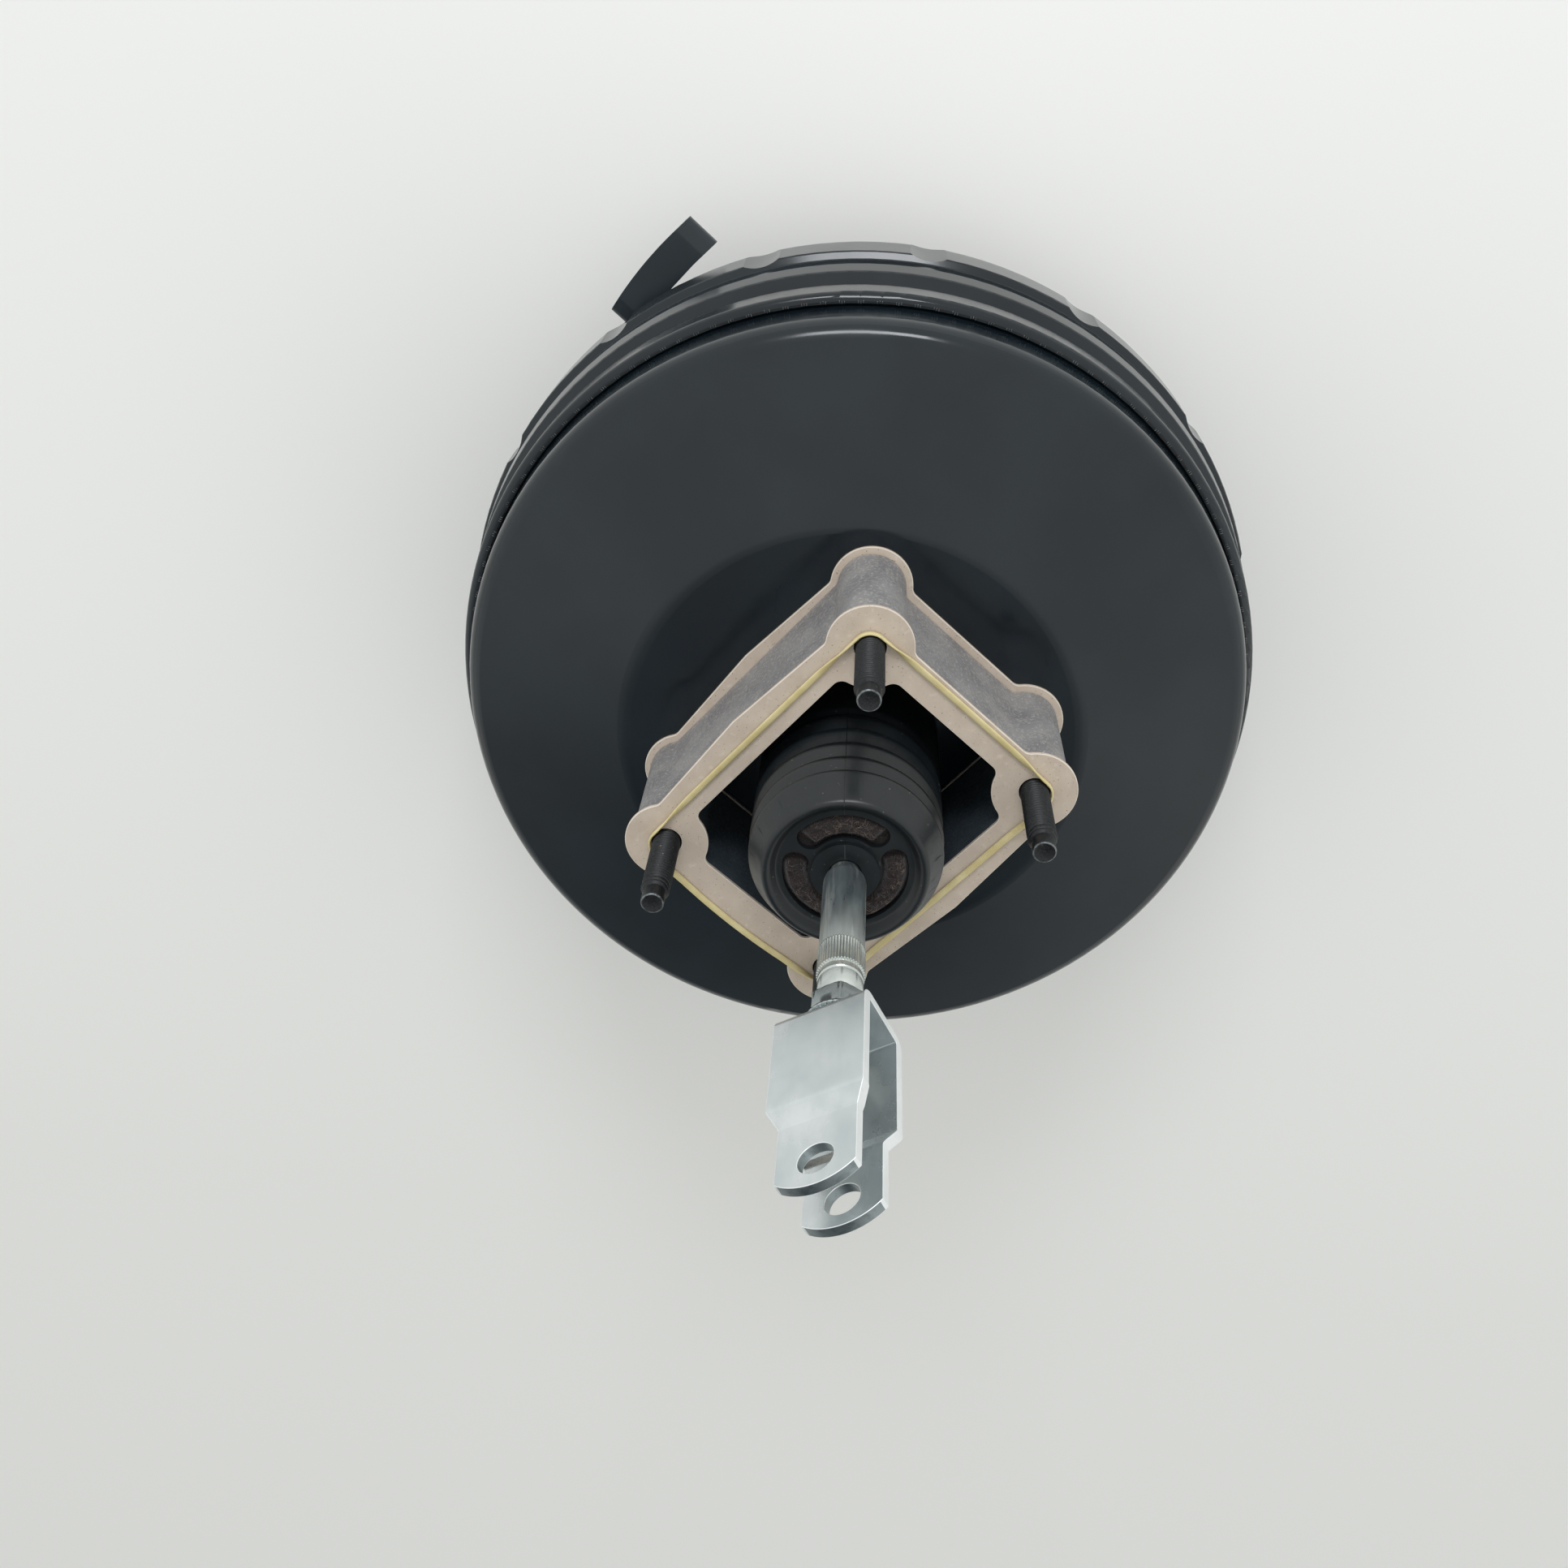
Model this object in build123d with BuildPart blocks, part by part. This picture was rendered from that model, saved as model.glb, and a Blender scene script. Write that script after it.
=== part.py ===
"""Tandem vacuum brake booster: shells, power piston, control valve, push rods and mountings.

Millimetres. The origin is the centre of the rear gasket's face, which meets the firewall.
+Z points to the brake pedal, and +X runs along the wider spacing of the four firewall studs.
The pedal rod, the valve and the power piston all move towards -Z when the brake is applied.
"""

import os
from math import cos, radians, sin, sqrt

from build123d import *

os.makedirs("parts", exist_ok=True)

# ---------------------------------------------------------------- driving dimensions
# Firewall joint
stud_spacing_x = 84.0
stud_spacing_y = 63.0
stud_dia = 8.0
stud_reach = 32.0
stud_tip_dia = 6.4
stud_tip_len = 5.5
stud_neck_dia = 5.9
stud_shank_dia = 7.2
stud_head_dia = 14.0
stud_head_t = 2.5
gasket_t = 1.2
spacer_t = 42.0
lobe_dia = 20.0
frame_out_x = 4.6
frame_out_y = 7.9
frame_in_x = 2.6
frame_in_y = 0.4
gasket_lobe_grow = 2.0
gasket_end_grow = 2.1
gasket_side_grow = 0.6
gasket_peak = 3.2
corner_fillet = 3.0
stud_hole_gap = 0.35

# Rear shell
rear_sheet_t = 1.6
neck_len = 20.0
neck_fillet = 2.0
plateau_dia = 140.0
plateau_fillet = 12.0
dome_rise = 20.0
rim_inset = 4.7
rim_fillet = 7.0
skirt_inset = 3.8
skirt_len = 14.9

# Joint between the shells
crimp_dia = 255.0
crimp_lap = 0.9
flange_inset = 0.9
bead_t = 3.0
ledge_gap = 0.4
divider_t = 1.4

# Front shell
front_sheet_t = 1.8
groove_depth = 1.5
groove_h = 4.4
band_step = 2.0
band_h = 6.8
ridge_step = 2.8
waist_step = 2.4
waist_h = 6.6
shoulder_step = 4.75
shoulder_h = 27.0
shoulder_fillet = 12.0
shoulder_lead = 1.5
flute_count = 16
flute_dia = 26.0
flute_depth = 1.4
land_fillet = 6.0
land_margin = 1.85
boss_dia = 124.0
boss_depth = 20.0
boss_fillet = 8.0
boss_coin = 0.1
pilot_dia = 42.0
pilot_len = 9.0
pilot_fillet = 2.5

# Master cylinder joint
cylinder_stud_spacing = 76.0
cylinder_stud_reach = 24.0
front_plate_t = 2.5
front_plate_dia = 104.0

# Divider and diaphragms
rubber_t = 1.8
plate_t = 1.4
plate_knee_fillet = 10.0
plate_fillet = 2.0
piston_stroke = 26.0
stroke_gap = 2.0
rolling_gap = 6.0
rolling_drop = 16.0
plate_rim_h = 3.0
dish_gap = 1.5
bead_w = 3.3
divider_seal_w = 5.0
divider_collar_h = 9.0
divider_foot_fillet = 2.5
divider_fillet = 2.0

# Neck seal
rear_seal_w = 2.9
rear_seal_len = 12.0
rear_seal_cap = 1.6

# Valve body
hub_dia = 39.0
hub_reach = 22.0
core_dia = 48.0
piston_flange_dia = 68.0
piston_flange_t = 4.6
nose_dia = 29.0
nose_len = 13.0
disc_pocket_dia = 26.0
chamber_dia = 31.0
lower_chamber_dia = 29.6
chamber_step_z = -10.0
chamber_floor_z = -32.0
vacuum_seat_dia = 22.0
vacuum_seat_t = 1.4
vacuum_port_dia = 3.6
vacuum_port_pitch = 32.8
vacuum_port_count = 4
air_port_dia = 5.0
air_port_z = -42.0
plunger_bore_end_z = -64.0
stem_bore_dia = 12.0

# Control valve and pedal rod
valve_travel = 2.0
poppet_travel = 0.5
poppet_z = -24.0
poppet_t = 1.5
poppet_lip_dia = 26.8
poppet_hole_dia = 14.0
poppet_tube_dia = 24.0
poppet_bead_h = 3.0
retainer_h = 5.2
retainer_t = 1.0
retainer_hole_dia = 12.4
plunger_dia = 17.0
plunger_flange_dia = 19.2
plunger_flange_t = 3.0
plunger_len = 35.0
stem_dia = 11.8
stem_gap = 3.0
key_z = -70.0
key_t = 2.4
key_w = 13.0
key_groove_dia = 8.8
disc_dia = 25.6
disc_t = 6.0
head_t = 5.0
output_rod_dia = 12.0
output_tip_dia = 9.0
output_tip_len = 14.0
output_past = 6.0
neck_rod_dia = 8.0
ball_dia = 11.0
ball_z = -38.0
sleeve_dia = 11.4
sleeve_z = 32.0
sleeve_groove_z = 78.8
sleeve_groove_w = 1.2
sleeve_end_z = 84.5
sleeve_end_dia = 10.0
rod_seat_z = 6.0
rod_seat_t = 1.5
rod_seat_dia = 18.0
thread_dia = 8.0
thread_past = 9.0
nut_hex_af = 13.0
nut_hex_h = 8.0
nut_flange_dia = 17.0
nut_flange_h = 1.8

# Clevis
clevis_sheet_t = 2.6
clevis_bridge_z = 96.5
clevis_span = 18.8
clevis_ear_span = 14.6
clevis_w = 23.0
clevis_ear_w = 18.4
clevis_joggle_z = 128.6
clevis_joggle_h = 4.6
clevis_pin_z = 145.4
clevis_pin_dia = 8.2
clevis_corner_z = 149.2
clevis_end_z = 152.6
clevis_bend = 3.2
clevis_shoulder_bend = 4.0
clevis_ear_bend = 1.2
clevis_turn = -20.0

# Boot and filters
boot_t = 1.8
boot_neck_gap = 0.7
boot_crest_step = 0.5
boot_end_dia = 40.6
boot_floor_drop = 2.6
boot_floor_dia = 34.0
boot_reach = 31.2
boot_base_gap = 0.9
boot_widest_z = 20.7
boot_crease_z = 18.0
boot_crest_z = 14.1
boot_fold_count = 4
boot_fold_pitch = 8.15
boot_fold_depth = 2.4
boot_crest_fillet = 2.2
boot_valley_fillet = 1.0
boot_skirt_fillet = 2.0
boot_crease_fillet = 0.6
boot_collar_dia = 18.4
boot_collar_lap = 1.0
boot_collar_h = 4.0
boot_collar_gap = 0.5
vent_count = 3
vent_inner_dia = 19.4
vent_outer_dia = 31.6
vent_sweep = 84.0
vent_turn = 46.0
felt_t = 4.0
felt_dia = 40.0
filter_len = 12.5
filter_hole_dia = 13.0

# Springs
return_wire = 3.4
return_dia = 54.0
return_turns = 4
rod_spring_wire = 1.3
rod_spring_dia = 14.6
rod_spring_turns = 4
poppet_spring_wire = 1.0
poppet_spring_dia = 18.4
poppet_spring_turns = 5

# Vacuum check valve
valve_angle = -138.0
valve_body_dia = 22.0
valve_neck_dia = 14.0
valve_neck_bore = 9.0
valve_wall = 2.2
valve_flange_t = 2.2
valve_cup_h = 16.0
valve_neck_past = 1.5
nozzle_dia = 9.5
nozzle_bore = 6.0
nozzle_len = 28.0
nozzle_chamfer = 1.0
nozzle_root_dia = 13.0
nozzle_root_len = 2.0
check_travel = 1.5
check_disc_dia = 15.0
check_disc_t = 1.6
check_spring_wire = 0.7
check_spring_dia = 9.0
check_spring_turns = 4
check_post_dia = 5.6
grommet_dia = 23.4
grommet_lip_t = 2.2
grommet_hole_dia = 19.0

# Side bracket
bracket_t = 2.2
bracket_x = 43.0
bracket_past = 4.54
bracket_head_len = 40.0
bracket_head_w = 11.6
bracket_arm_w = 16.0
bracket_foot_inset = 7.29
bracket_fold = 5.5
bracket_fold_drop = 2.0
bracket_lip = 3.0

# Fits
touch_gap = 0.3
slip_gap = 0.1
rest_gap = 0.05

# ---------------------------------------------------------------- levels along the axis
z_seat = -(spacer_t + 2 * gasket_t)
z_rim = z_seat - dome_rise
z_crimp = z_rim - skirt_len
z_pocket = z_crimp - front_sheet_t
z_rear_bead = z_pocket - rear_sheet_t
z_divider = z_rear_bead - bead_t
z_front_bead = z_divider - divider_t
z_ledge = z_front_bead - bead_t - ledge_gap
z_groove_end = z_ledge - front_sheet_t - groove_h
z_ridge = z_groove_end - 2 * groove_depth - band_h
z_waist = z_ridge - 4 * (ridge_step - waist_step)
z_waist_end = z_waist - waist_h
z_shoulder = z_waist_end - shoulder_lead
z_land = z_waist_end - shoulder_h
z_boss = z_land - boss_depth
z_neck = z_seat + neck_len
z_boss_inside = z_boss + front_sheet_t - boss_coin
z_bore = z_boss_inside + front_plate_t

# The shells' radii step in and out from the crimped flange between them.
crimp_r = crimp_dia / 2
rim_r = crimp_r - rim_inset
skirt_r = crimp_r - skirt_inset
waist_r = crimp_r + waist_step
shoulder_r = crimp_r + shoulder_step
land_outer_r = shoulder_r - shoulder_fillet
land_r = land_outer_r - grommet_dia - land_margin
pocket_r = crimp_r - front_sheet_t - slip_gap
bead_r = pocket_r - touch_gap

# The shell's neck holds the seal that slides on the hub, and the divider's collar the one on the core.
neck_r = hub_dia / 2 + rear_seal_w + rear_sheet_t
seal_bore_r = neck_r - rear_sheet_t
divider_seal_r = core_dia / 2 + divider_seal_w
divider_collar_r = divider_seal_r + slip_gap + divider_t
boot_skirt_r = neck_r + boot_neck_gap + boot_t
boot_crest_r = boot_skirt_r + boot_crest_step

# The rear piston plate clears the firewall stud heads and the rear shell's dome.
z_stud_head = z_seat - rear_sheet_t - stud_head_t
z_rear_skin = z_stud_head - touch_gap
z_rear_plate = z_rear_skin - rubber_t
z_core = z_rear_plate - plate_t
plate_r = bead_r - rolling_gap - 2 * rubber_t
dome_slope = dome_rise / (rim_r - plateau_dia / 2)
plate_knee_r = plateau_dia / 2 + (stud_head_t + touch_gap) / dome_slope - 2 * rubber_t
plate_drop = dome_slope * (plate_r - plate_knee_r)
z_plate_rim = z_rear_plate - plate_drop - plate_rim_h

# The divider stands clear of the rear plate's rim at full stroke.
z_divider_floor = z_plate_rim - piston_stroke - stroke_gap
divider_wall_r = plate_r + rubber_t + dish_gap
z_front_skin = z_divider_floor - divider_t - stroke_gap
z_front_plate = z_front_skin - rubber_t
z_flange = z_front_plate - plate_t
z_flange_front = z_flange - piston_flange_t
z_nose = z_flange_front - nose_len
z_disc = z_nose + head_t + disc_t + touch_gap

# At rest the plunger holds the poppet clear of the vacuum seat by the poppet's travel.
z_plunger = poppet_z - slip_gap
z_vacuum_seat = poppet_z - poppet_travel - slip_gap
z_poppet_bead = chamber_step_z + poppet_travel + slip_gap
z_retainer = z_poppet_bead + poppet_bead_h + slip_gap
z_stem_end = z_disc + stem_gap
z_key_groove = key_z - slip_gap
z_nut = clevis_bridge_z - slip_gap
z_felt = hub_reach + touch_gap
z_boot_floor = boot_reach - boot_floor_drop

# The check valve hangs from a grommet in the front shell's land.
valve_radius = land_outer_r - grommet_dia / 2 - rest_gap
z_valve = z_land - grommet_lip_t
z_valve_floor = z_valve - valve_wall
z_valve_end = z_valve - valve_cup_h
z_nozzle = z_valve - valve_cup_h / 2
z_check_disc = z_valve_floor - rest_gap
z_check_spring = z_valve_end + valve_wall
z_check_post = z_check_disc - check_disc_t - check_travel - rest_gap
nozzle_root = valve_body_dia / 2 + nozzle_root_len
nozzle_end = nozzle_root + nozzle_len

# The side bracket reaches from the land to just past the shoulder.
bracket_y = sqrt(shoulder_r**2 - bracket_x**2) + bracket_past
bracket_foot_y = sqrt(land_r**2 - bracket_x**2) + bracket_foot_inset


# ---------------------------------------------------------------- shared profiles
def turned(*points, plane=Plane.XZ):
    """Closed half profile, given as (radius, height), to be revolved about the plane's Y axis."""
    with BuildSketch(plane) as profile:
        with BuildLine():
            Polyline(*points, close=True)
        make_face()
    return profile.sketch


def pressed(points, radii, thickness, side):
    """Sheet section: one surface as filleted (radius, height) points, thickened to one side."""
    with BuildSketch(Plane.XZ) as section:
        with BuildLine():
            FilletPolyline(*points, radius=radii)
            offset(amount=thickness, side=side)
        make_face()
    return section.sketch


def ring(inner_dia, outer_dia, low, high):
    """Half profile of a plain ring."""
    return turned((inner_dia / 2, low), (outer_dia / 2, low), (outer_dia / 2, high), (inner_dia / 2, high))


def coil(mean_dia, wire, low, high, turns):
    """Compression spring between two levels, with its wire just inside them."""
    rise = high - low - wire
    path = Helix(pitch=rise / turns, height=rise, radius=mean_dia / 2, center=(0, 0, low + wire / 2))
    with BuildPart() as spring:
        with BuildSketch(Plane(origin=path @ 0, z_dir=path % 0)):
            Circle(wire / 2)
        sweep(path=path, is_frenet=True)
    return spring.part


def stud(tip_z, face_z, clamp_z, head_z):
    """Stud on the Z axis: head inside the shell, plain shank up to the joint's face, dog point."""
    way = 1 if tip_z > face_z else -1
    tip_r = stud_tip_dia / 2
    profile = turned(
        (0, head_z),
        (stud_head_dia / 2, head_z),
        (stud_head_dia / 2, clamp_z),
        (stud_shank_dia / 2, clamp_z),
        (stud_shank_dia / 2, face_z),
        (stud_dia / 2, face_z),
        (stud_dia / 2, tip_z - way * (stud_tip_len + 1.6)),
        (stud_neck_dia / 2, tip_z - way * (stud_tip_len + 0.6)),
        (stud_neck_dia / 2, tip_z - way * stud_tip_len),
        (tip_r, tip_z - way * (stud_tip_len - 0.4)),
        (tip_r, tip_z - way * 0.8),
        (tip_r - 0.8, tip_z),
        (0, tip_z),
    )
    with BuildPart() as stud_part:
        revolve(profile, axis=Axis.Z)
    return stud_part.part


stud_points = GridLocations(stud_spacing_x, stud_spacing_y, 2, 2)
cylinder_stud_points = GridLocations(cylinder_stud_spacing, 1, 2, 1)
valve_out = (cos(radians(valve_angle)), sin(radians(valve_angle)), 0)
valve_along = (-valve_out[1], valve_out[0], 0)
valve_place = (valve_radius * valve_out[0], valve_radius * valve_out[1])
valve_plane = Plane(origin=valve_place, x_dir=valve_out, z_dir=(-valve_along[0], -valve_along[1], 0))
valve_axis = Axis(valve_place, (0, 0, 1))
nozzle_plane = Plane(origin=(*valve_place, z_nozzle), z_dir=valve_along)


def mount_frame(lobe, grow_x, grow_y, peak):
    """Rectangular frame through the four studs, with a round lobe and a hole at each stud."""
    half_x = stud_spacing_x / 2 + frame_out_x + grow_x
    half_y = stud_spacing_y / 2 + frame_out_y + grow_y
    inner_x = stud_spacing_x / 2 - frame_in_x
    inner_y = stud_spacing_y / 2 - frame_in_y
    with BuildSketch() as frame:
        with BuildLine():
            Polyline(
                (half_x, half_y),
                (0, half_y + peak),
                (-half_x, half_y),
                (-half_x, -half_y),
                (0, -half_y - peak),
                (half_x, -half_y),
                close=True,
            )
        make_face()
        Rectangle(2 * inner_x, 2 * inner_y, mode=Mode.SUBTRACT)
        with stud_points:
            Circle(lobe / 2)
        corners = [v for v in frame.vertices() if abs(v.X) > stud_dia]
        fillet(corners, corner_fillet)
        with stud_points:
            Circle(stud_dia / 2 + stud_hole_gap, mode=Mode.SUBTRACT)
    return frame.sketch


# ---------------------------------------------------------------- shells
with BuildPart() as rear_shell:
    section = pressed(
        [
            (neck_r, z_neck),
            (neck_r, z_seat),
            (plateau_dia / 2, z_seat),
            (rim_r, z_rim),
            (skirt_r, z_pocket),
            (pocket_r - flange_inset, z_pocket),
        ],
        [neck_fillet, plateau_fillet, rim_fillet, 0.6],
        rear_sheet_t,
        Side.RIGHT,
    )
    revolve(section, axis=Axis.Z)
    with BuildSketch(Plane.XY.offset(z_seat)):
        with stud_points:
            Circle(stud_dia / 2 + slip_gap)
    extrude(amount=-2 * rear_sheet_t, mode=Mode.SUBTRACT)
rear_shell.part.label = "rear_shell"
export_step(rear_shell.part, "parts/rear_shell.step")

front_profile = [
    (skirt_r + crimp_lap, z_crimp),
    (crimp_r, z_crimp),
    (crimp_r, z_ledge),
    (crimp_r - groove_depth, z_ledge - front_sheet_t),
    (crimp_r - groove_depth, z_groove_end),
    (crimp_r + band_step, z_groove_end - 2 * groove_depth),
    (crimp_r + ridge_step, z_ridge),
    (waist_r, z_waist),
    (waist_r, z_waist_end),
    (shoulder_r, z_shoulder),
    (shoulder_r, z_land),
    (land_r, z_land),
    (boss_dia / 2, z_boss - boss_coin),
    (pilot_dia / 2, z_boss - boss_coin),
    (pilot_dia / 2, z_boss + pilot_len),
]
front_radii = [2.4, 1.2, 0.8, 0.8, 1.2, 0.6, 0.8, 0.6, 0.8]
front_radii += [shoulder_fillet, land_fillet, boss_fillet, pilot_fillet]
flute_points = PolarLocations(
    shoulder_r - flute_depth + flute_dia / 2,
    flute_count,
    start_angle=180 / flute_count,
)

with BuildPart() as front_shell:
    section = pressed(front_profile, front_radii, front_sheet_t, Side.RIGHT)
    revolve(section, axis=Axis.Z)
    # Each flute is pressed inwards, so the sheet bulges behind it.
    with BuildSketch(Plane.XY.offset(z_shoulder)):
        with flute_points:
            Circle(flute_dia / 2 + front_sheet_t)
        Circle(shoulder_r - front_sheet_t / 2, mode=Mode.INTERSECT)
    extrude(amount=shoulder_fillet - shoulder_h)
    with BuildSketch(Plane.XY.offset(z_waist_end)):
        with flute_points:
            Circle(flute_dia / 2)
    extrude(amount=-shoulder_h, mode=Mode.SUBTRACT)
    # The face that the master cylinder meets is coined flat.
    with BuildSketch(Plane.XY.offset(z_boss)):
        Circle(boss_dia / 2 + boss_fillet)
    extrude(amount=-2 * boss_coin, mode=Mode.SUBTRACT)
    with BuildSketch(Plane.XY.offset(z_boss)):
        with cylinder_stud_points:
            Circle(stud_dia / 2 + slip_gap)
    extrude(amount=front_sheet_t, mode=Mode.SUBTRACT)
    with BuildSketch(Plane.XY.offset(z_land)):
        with Locations(valve_place):
            Circle(grommet_hole_dia / 2)
    extrude(amount=front_sheet_t, mode=Mode.SUBTRACT)
front_shell.part.label = "front_shell"
export_step(front_shell.part, "parts/front_shell.step")

with BuildPart() as divider_plate:
    section = pressed(
        [
            (bead_r, z_divider),
            (divider_wall_r, z_divider),
            (divider_wall_r, z_divider_floor),
            (divider_collar_r, z_divider_floor),
            (divider_collar_r, z_divider_floor + divider_collar_h),
        ],
        [1.0, divider_foot_fillet, divider_fillet],
        divider_t,
        Side.LEFT,
    )
    revolve(section, axis=Axis.Z)
divider_plate.part.label = "divider_plate"
export_step(divider_plate.part, "parts/divider_plate.step")

with BuildPart() as front_plate:
    revolve(
        ring(
            pilot_dia + 2 * (pilot_fillet + touch_gap),
            front_plate_dia,
            z_boss_inside,
            z_bore,
        ),
        axis=Axis.Z,
    )
    with BuildSketch(Plane.XY.offset(z_bore)):
        with cylinder_stud_points:
            Circle(stud_dia / 2 + slip_gap)
    extrude(amount=-front_plate_t, mode=Mode.SUBTRACT)
front_plate.part.label = "front_plate"
export_step(front_plate.part, "parts/front_plate.step")


# ---------------------------------------------------------------- firewall and cylinder joints
firewall_stud = stud(stud_reach, 0, z_stud_head + stud_head_t, z_stud_head)
with BuildPart() as firewall_studs:
    with stud_points:
        add(firewall_stud)
firewall_studs.part.label = "firewall_studs"
export_step(firewall_studs.part, "parts/firewall_studs.step")

cylinder_stud = stud(z_boss - cylinder_stud_reach, z_boss, z_bore, z_bore + stud_head_t)
with BuildPart() as cylinder_studs:
    with cylinder_stud_points:
        add(cylinder_stud)
cylinder_studs.part.label = "cylinder_studs"
export_step(cylinder_studs.part, "parts/cylinder_studs.step")

with BuildPart() as spacer:
    with BuildSketch(Plane.XY.offset(z_seat + gasket_t)):
        add(mount_frame(lobe_dia, 0, 0, 0))
    extrude(amount=spacer_t)
spacer.part.label = "spacer"
export_step(spacer.part, "parts/spacer.step")

gasket_outline = mount_frame(
    lobe_dia + 2 * gasket_lobe_grow, gasket_end_grow, gasket_side_grow, gasket_peak
)
for gasket_name, gasket_z in (("front_gasket", z_seat), ("rear_gasket", -gasket_t)):
    with BuildPart() as gasket:
        with BuildSketch(Plane.XY.offset(gasket_z)):
            add(gasket_outline)
        extrude(amount=gasket_t)
    gasket.part.label = gasket_name
    export_step(gasket.part, f"parts/{gasket_name}.step")

with BuildPart() as side_bracket:
    half_head = bracket_head_len / 2
    head_plane = Plane(origin=(bracket_x, bracket_y, z_land), x_dir=(1, 0, 0), z_dir=(0, -1, 0))
    with BuildSketch(head_plane):
        with BuildLine():
            FilletPolyline(
                (-half_head, -bracket_fold_drop - bracket_lip),
                (-half_head, -bracket_fold_drop),
                (bracket_fold - half_head, 0),
                (half_head - bracket_fold, 0),
                (half_head, -bracket_fold_drop),
                (half_head, -bracket_fold_drop - bracket_lip),
                radius=[bracket_t + 0.6, 2.0, 2.0, bracket_t + 0.6],
            )
            offset(amount=bracket_t, side=Side.RIGHT)
        make_face()
    extrude(amount=bracket_head_w / 2, both=True)
    with BuildSketch(Plane.XY.offset(z_land)):
        arm_len = bracket_y - bracket_foot_y
        with Locations((bracket_x, bracket_foot_y + arm_len / 2)):
            Rectangle(bracket_arm_w, arm_len)
    extrude(amount=-bracket_t)
    foot_edges = side_bracket.edges().filter_by(Axis.Z).sort_by(Axis.Y)[:2]
    fillet(foot_edges, bracket_arm_w / 4)
side_bracket.part.label = "side_bracket"
export_step(side_bracket.part, "parts/side_bracket.step")


# ---------------------------------------------------------------- seals
seal_low = z_neck - rear_seal_cap - rear_seal_len
with BuildPart() as rear_seal:
    lip_low = seal_low + rear_seal_len / 4
    revolve(
        turned(
            (hub_dia / 2 + rest_gap, seal_low),
            (seal_bore_r - slip_gap, seal_low),
            (seal_bore_r - slip_gap, z_neck - rear_seal_cap),
            (hub_dia / 2 + touch_gap, z_neck - rear_seal_cap),
            (hub_dia / 2 + 2 * touch_gap, lip_low),
            (hub_dia / 2 + rest_gap, lip_low),
        ),
        axis=Axis.Z,
    )
rear_seal.part.label = "rear_seal"
export_step(rear_seal.part, "parts/rear_seal.step")

with BuildPart() as rear_seal_retainer:
    retainer_dia = 2 * (seal_bore_r - rest_gap)
    revolve(
        ring(hub_dia + 2 * touch_gap, retainer_dia, z_neck - rear_seal_cap, z_neck),
        axis=Axis.Z,
    )
rear_seal_retainer.part.label = "rear_seal_retainer"
export_step(rear_seal_retainer.part, "parts/rear_seal_retainer.step")

with BuildPart() as divider_seal:
    seal_top = z_divider_floor + divider_collar_h
    revolve(
        turned(
            (core_dia / 2 + rest_gap, z_divider_floor),
            (divider_seal_r, z_divider_floor),
            (divider_seal_r, seal_top),
            (core_dia / 2 + rest_gap, seal_top),
            (core_dia / 2 + rest_gap, seal_top - 2 * divider_t),
            (core_dia / 2 + 2 * touch_gap, seal_top - 3 * divider_t),
            (core_dia / 2 + 2 * touch_gap, z_divider_floor + 3 * divider_t),
            (core_dia / 2 + rest_gap, z_divider_floor + 2 * divider_t),
        ),
        axis=Axis.Z,
    )
divider_seal.part.label = "divider_seal"
export_step(divider_seal.part, "parts/divider_seal.step")


# ---------------------------------------------------------------- piston plates and diaphragms
rear_plate_line = [
    (hub_dia / 2 + slip_gap, z_rear_plate),
    (plate_knee_r, z_rear_plate),
    (plate_r, z_rear_plate - plate_drop),
]
front_plate_line = [
    (core_dia / 2 + slip_gap, z_front_plate),
    (plate_r, z_front_plate),
]

with BuildPart() as rear_piston_plate:
    rear_plate_radii = [plate_knee_fillet, plate_fillet]
    rear_plate_end = [(plate_r, z_plate_rim)]
    section = pressed(rear_plate_line + rear_plate_end, rear_plate_radii, plate_t, Side.RIGHT)
    revolve(section, axis=Axis.Z)
rear_piston_plate.part.label = "rear_piston_plate"
export_step(rear_piston_plate.part, "parts/rear_piston_plate.step")

with BuildPart() as rear_diaphragm:
    z_web = z_divider + (bead_t - rubber_t) / 2
    section = pressed(
        rear_plate_line + [(plate_r, z_web), (bead_r - bead_w / 2, z_web)],
        [plate_knee_fillet, plate_fillet, rubber_t + 1.0],
        rubber_t,
        Side.LEFT,
    )
    revolve(section, axis=Axis.Z)
    bead = ring(2 * (bead_r - bead_w), 2 * bead_r, z_divider, z_rear_bead)
    revolve(bead, axis=Axis.Z)
rear_diaphragm.part.label = "rear_diaphragm"
export_step(rear_diaphragm.part, "parts/rear_diaphragm.step")

with BuildPart() as front_piston_plate:
    section = pressed(
        front_plate_line + [(plate_r, z_front_plate - plate_rim_h)],
        [plate_fillet],
        plate_t,
        Side.RIGHT,
    )
    revolve(section, axis=Axis.Z)
front_piston_plate.part.label = "front_piston_plate"
export_step(front_piston_plate.part, "parts/front_piston_plate.step")

with BuildPart() as front_diaphragm:
    z_roll = z_front_plate - rolling_drop
    outer_wall_r = bead_r - bead_w + rubber_t
    section = pressed(
        front_plate_line
        + [(plate_r, z_roll), (outer_wall_r, z_roll), (outer_wall_r, z_front_bead - bead_t / 2)],
        [plate_fillet, 2 * rubber_t, 2 * rubber_t],
        rubber_t,
        Side.LEFT,
    )
    revolve(section, axis=Axis.Z)
    bead = ring(2 * (bead_r - bead_w), 2 * bead_r, z_front_bead - bead_t, z_front_bead)
    revolve(bead, axis=Axis.Z)
front_diaphragm.part.label = "front_diaphragm"
export_step(front_diaphragm.part, "parts/front_diaphragm.step")


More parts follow.
